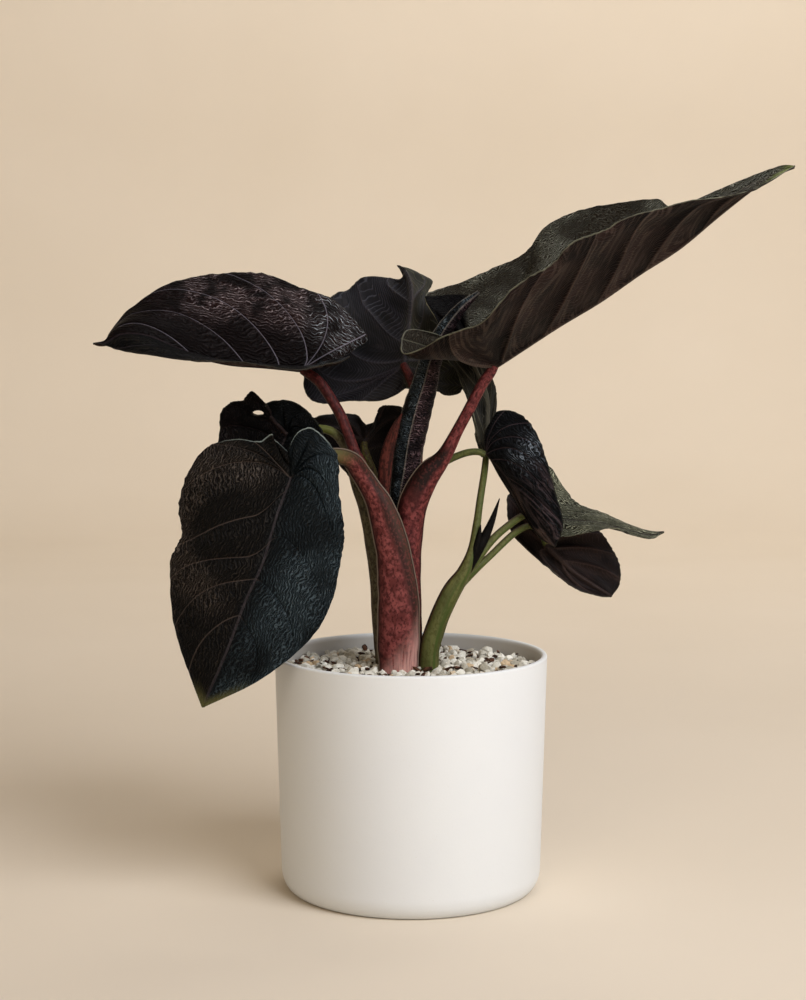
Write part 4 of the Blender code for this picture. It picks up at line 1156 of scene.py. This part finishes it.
def makePot():
    p = potShape
    lip, rounding, foot = p["lipRounding"], p["insideRounding"], p["footRounding"]
    lipUp = p["height"] - lip
    outer = potRadius(foot)
    insideLow = potRadius(p["floor"] + rounding) - p["wall"] - rounding
    profile = [(0, p["floor"]), (insideLow * 0.5, p["floor"])]
    profile += arc(insideLow, p["floor"] + rounding, rounding, -90, 0, 8)
    profile += arc(potRadius(p["height"]) - p["wall"] + lip, lipUp, lip, 180, 90, 6)
    profile += arc(potRadius(p["height"]) - lip, lipUp, lip, 90, 0, 6)
    profile += [(outer - p["footInset"] * (1 - x), foot * (1 + z)) for x, z in arc(0, 0, 1, 0, -90, 12)]
    profile += [((outer - p["footInset"]) * 0.5, 0), (0, 0)]
    bm = spinProfile(profile, p["steps"])
    addPiece("pot_stoneware", bm, [potMaterial()], "pot", sharpAngle=60)
    print("pot turned")


makePot()


# Pumice, with bark showing between the grains

grit = {
    "bedTop": 123.0,        # mm, as built
    "barkDown": 2.5,        # mm, how far below it the bark surface lies
    "barkThick": 1.5,
    "lumps": 24,            # shapes that the grains and chips share
    "corners": (24, 30),    # of a lump before its inner ones go
    "grains": 520,
    "size": (2.0, 4.5),     # mm, half of a grain
    "top": (123.2, 125.6),  # mm, the grit's surface near the wall and in the middle
    "chips": 80,
    "chip": (1.5, 3.8),     # mm, half of a chip
    "seed": 11,
}


def pumiceMaterial():
    # crushed pumice: chalky, full of pores, from white to cream and grey, grain by grain
    material, add = newMaterial("crushed pumice")
    place = add("place")
    grain = add("split", add("kept", attribute_name="grain"))
    cloud = add("noise", place, 1000 / 2.4, 3.0)
    colour = add("blend", grain[0], linear("#999382"), linear("#e6e4d8"))
    stained = add("times", add("band", grain[1], 0.86, 0.97), 0.8)
    colour = add("blend", stained, colour, linear("#c3a67e"))
    colour = add("blend", add("times", add("band", cloud, 0.55, 0.75), 0.55), colour, linear("#8d8069"))
    # the pores are painted darker, as painted shade in them
    pore = add("band", add("cells", place, 1000 / 0.8), 0.26, 0.08)
    colour = add("blend", add("times", pore, 0.45), colour, linear("#5d5140"))
    height = add("timesPlus", cloud, 0.6, add("times", pore, -0.7))
    return finishMaterial(material, add, Base_Color=colour, Roughness=0.92, Specular_IOR_Level=0.2,
                          Normal=add("bump", 1.0, 0.0004, height))


def barkMaterial():
    # composted bark: dark red brown, torn along its fibres
    material, add = newMaterial("composted bark")
    place = add("place")
    fibre = add("noise", add("stretch", place, (0.5, 1.5, 1.0)), 1000 / 2.4, 4.0)
    clump = add("noise", place, 1000 / 5.5, 3.0)
    colour = add("blend", add("band", fibre, 0.35, 0.65), linear("#1e130d"), linear("#5a3a28"))
    colour = add("blend", add("band", clump, 0.5, 0.7), colour, linear("#2b1c13"))
    return finishMaterial(material, add, Base_Color=colour, Roughness=0.9, Specular_IOR_Level=0.2,
                          Normal=add("bump", 1.0, 0.0008, add("plus", fibre, clump)))


def brokenLumps(rng, count, corners):
    # lumps as they break: each the hull of a few spots on a ball, as (points, faces)
    lumps = []
    for _ in range(count):
        bm = bmesh.new()
        for _ in range(rng.randint(*corners)):
            spot = Vector((rng.gauss(0, 1), rng.gauss(0, 1), rng.gauss(0, 1))).normalized()
            bm.verts.new(spot * rng.uniform(0.88, 1.10))
        inner = bmesh.ops.convex_hull(bm, input=bm.verts)["geom_interior"]
        inner = [v for v in inner if isinstance(v, bmesh.types.BMVert)]
        bmesh.ops.delete(bm, geom=inner, context="VERTS")
        bmesh.ops.recalc_face_normals(bm, faces=bm.faces)
        bm.verts.index_update()
        lumps.append(([v.co.copy() for v in bm.verts], [[v.index for v in f.verts] for f in bm.faces]))
        bm.free()
    return lumps


def addLump(bm, lump, move, layer=None, tint=None):
    points, faces = lump
    verts = [bm.verts.new(move @ point) for point in points]
    for face in faces:
        bm.faces.new([verts[i] for i in face])
    if layer:
        for vert in verts:
            vert[layer] = tint


def makeGrit():
    rng = random.Random(grit["seed"])
    edge = potRadius(grit["bedTop"]) - potShape["wall"]
    low, high = grit["top"]
    bark = barkMaterial()
    lumps = brokenLumps(rng, grit["lumps"], grit["corners"])

    def anyTurn():
        turn = rng.uniform(0, math.tau)
        return Matrix.Rotation(turn, 4, Vector((rng.gauss(0, 1), rng.gauss(0, 1), rng.gauss(0, 1))))

    # the bed is a rough bark surface that closes the gaps between the grains
    height = grit["bedTop"] - grit["barkDown"]
    bm = spinProfile([(edge * k / 30, height) for k in range(31)], 120)
    for vert in bm.verts:
        vert.co.z += 1.4 * noise.noise(vert.co / 3.5) + 0.6 * noise.noise(vert.co / 1.4)
    for face in bm.faces:
        if face.normal.z < 0:
            face.normal_flip()
    shell = {"thickness": grit["barkThick"] * mm, "offset": -1.0}
    addPiece("bark_surface", bm, [bark], shell=shell)

    bm = bmesh.new()
    grainLayer = bm.verts.layers.float_vector.new("grain")
    small, large = grit["size"]
    for index in range(grit["grains"]):
        size = small + (large - small) * rng.random() ** 1.2
        reach = (edge - size * 0.9) * math.sqrt((index + 0.5) / grit["grains"])
        turn = index * math.pi * (3 - math.sqrt(5)) + rng.uniform(-0.05, 0.05)
        top = stepped([(0.0, high), (0.75, low), (1.0, low + 0.6)], reach / edge)
        place = Vector((reach * math.cos(turn), reach * math.sin(turn), 0))
        place.z = top - size * 0.62 + rng.uniform(-1.8, 0.8) + 1.2 * noise.noise(place / 11)
        shape = Matrix.Diagonal((size, size * rng.uniform(0.7, 1.0), size * rng.uniform(0.6, 0.9), 1.0))
        tint = (rng.random() ** 0.6, rng.random(), 0.0)
        addLump(bm, rng.choice(lumps), Matrix.Translation(place) @ anyTurn() @ shape, grainLayer, tint)
    addPiece("pumice_grains", bm, [pumiceMaterial()], "pumice", sharpAngle=32)

    bm = bmesh.new()
    for _ in range(grit["chips"]):
        reach = edge * math.sqrt(rng.random()) * 0.94
        turn = rng.uniform(0, math.tau)
        size = rng.uniform(*grit["chip"])
        place = Vector((reach * math.cos(turn), reach * math.sin(turn), low + rng.uniform(-0.4, 1.4)))
        spin = Matrix.Rotation(rng.uniform(0, math.tau), 4, "Z")
        spin = spin @ Matrix.Rotation(rng.uniform(-0.5, 0.5), 4, "Y")
        shape = Matrix.Diagonal((size, size * rng.uniform(0.35, 0.6), size * rng.uniform(0.2, 0.4), 1.0))
        addLump(bm, rng.choice(lumps), Matrix.Translation(place) @ spin @ shape)
    addPiece("bark_chips", bm, [bark], sharpAngle=25)

    # the mix itself stays as built, in bark
    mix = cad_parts["potting_mix"]
    mix.data.materials.clear()
    mix.data.materials.append(bark)
    print("grit spread")


makeGrit()
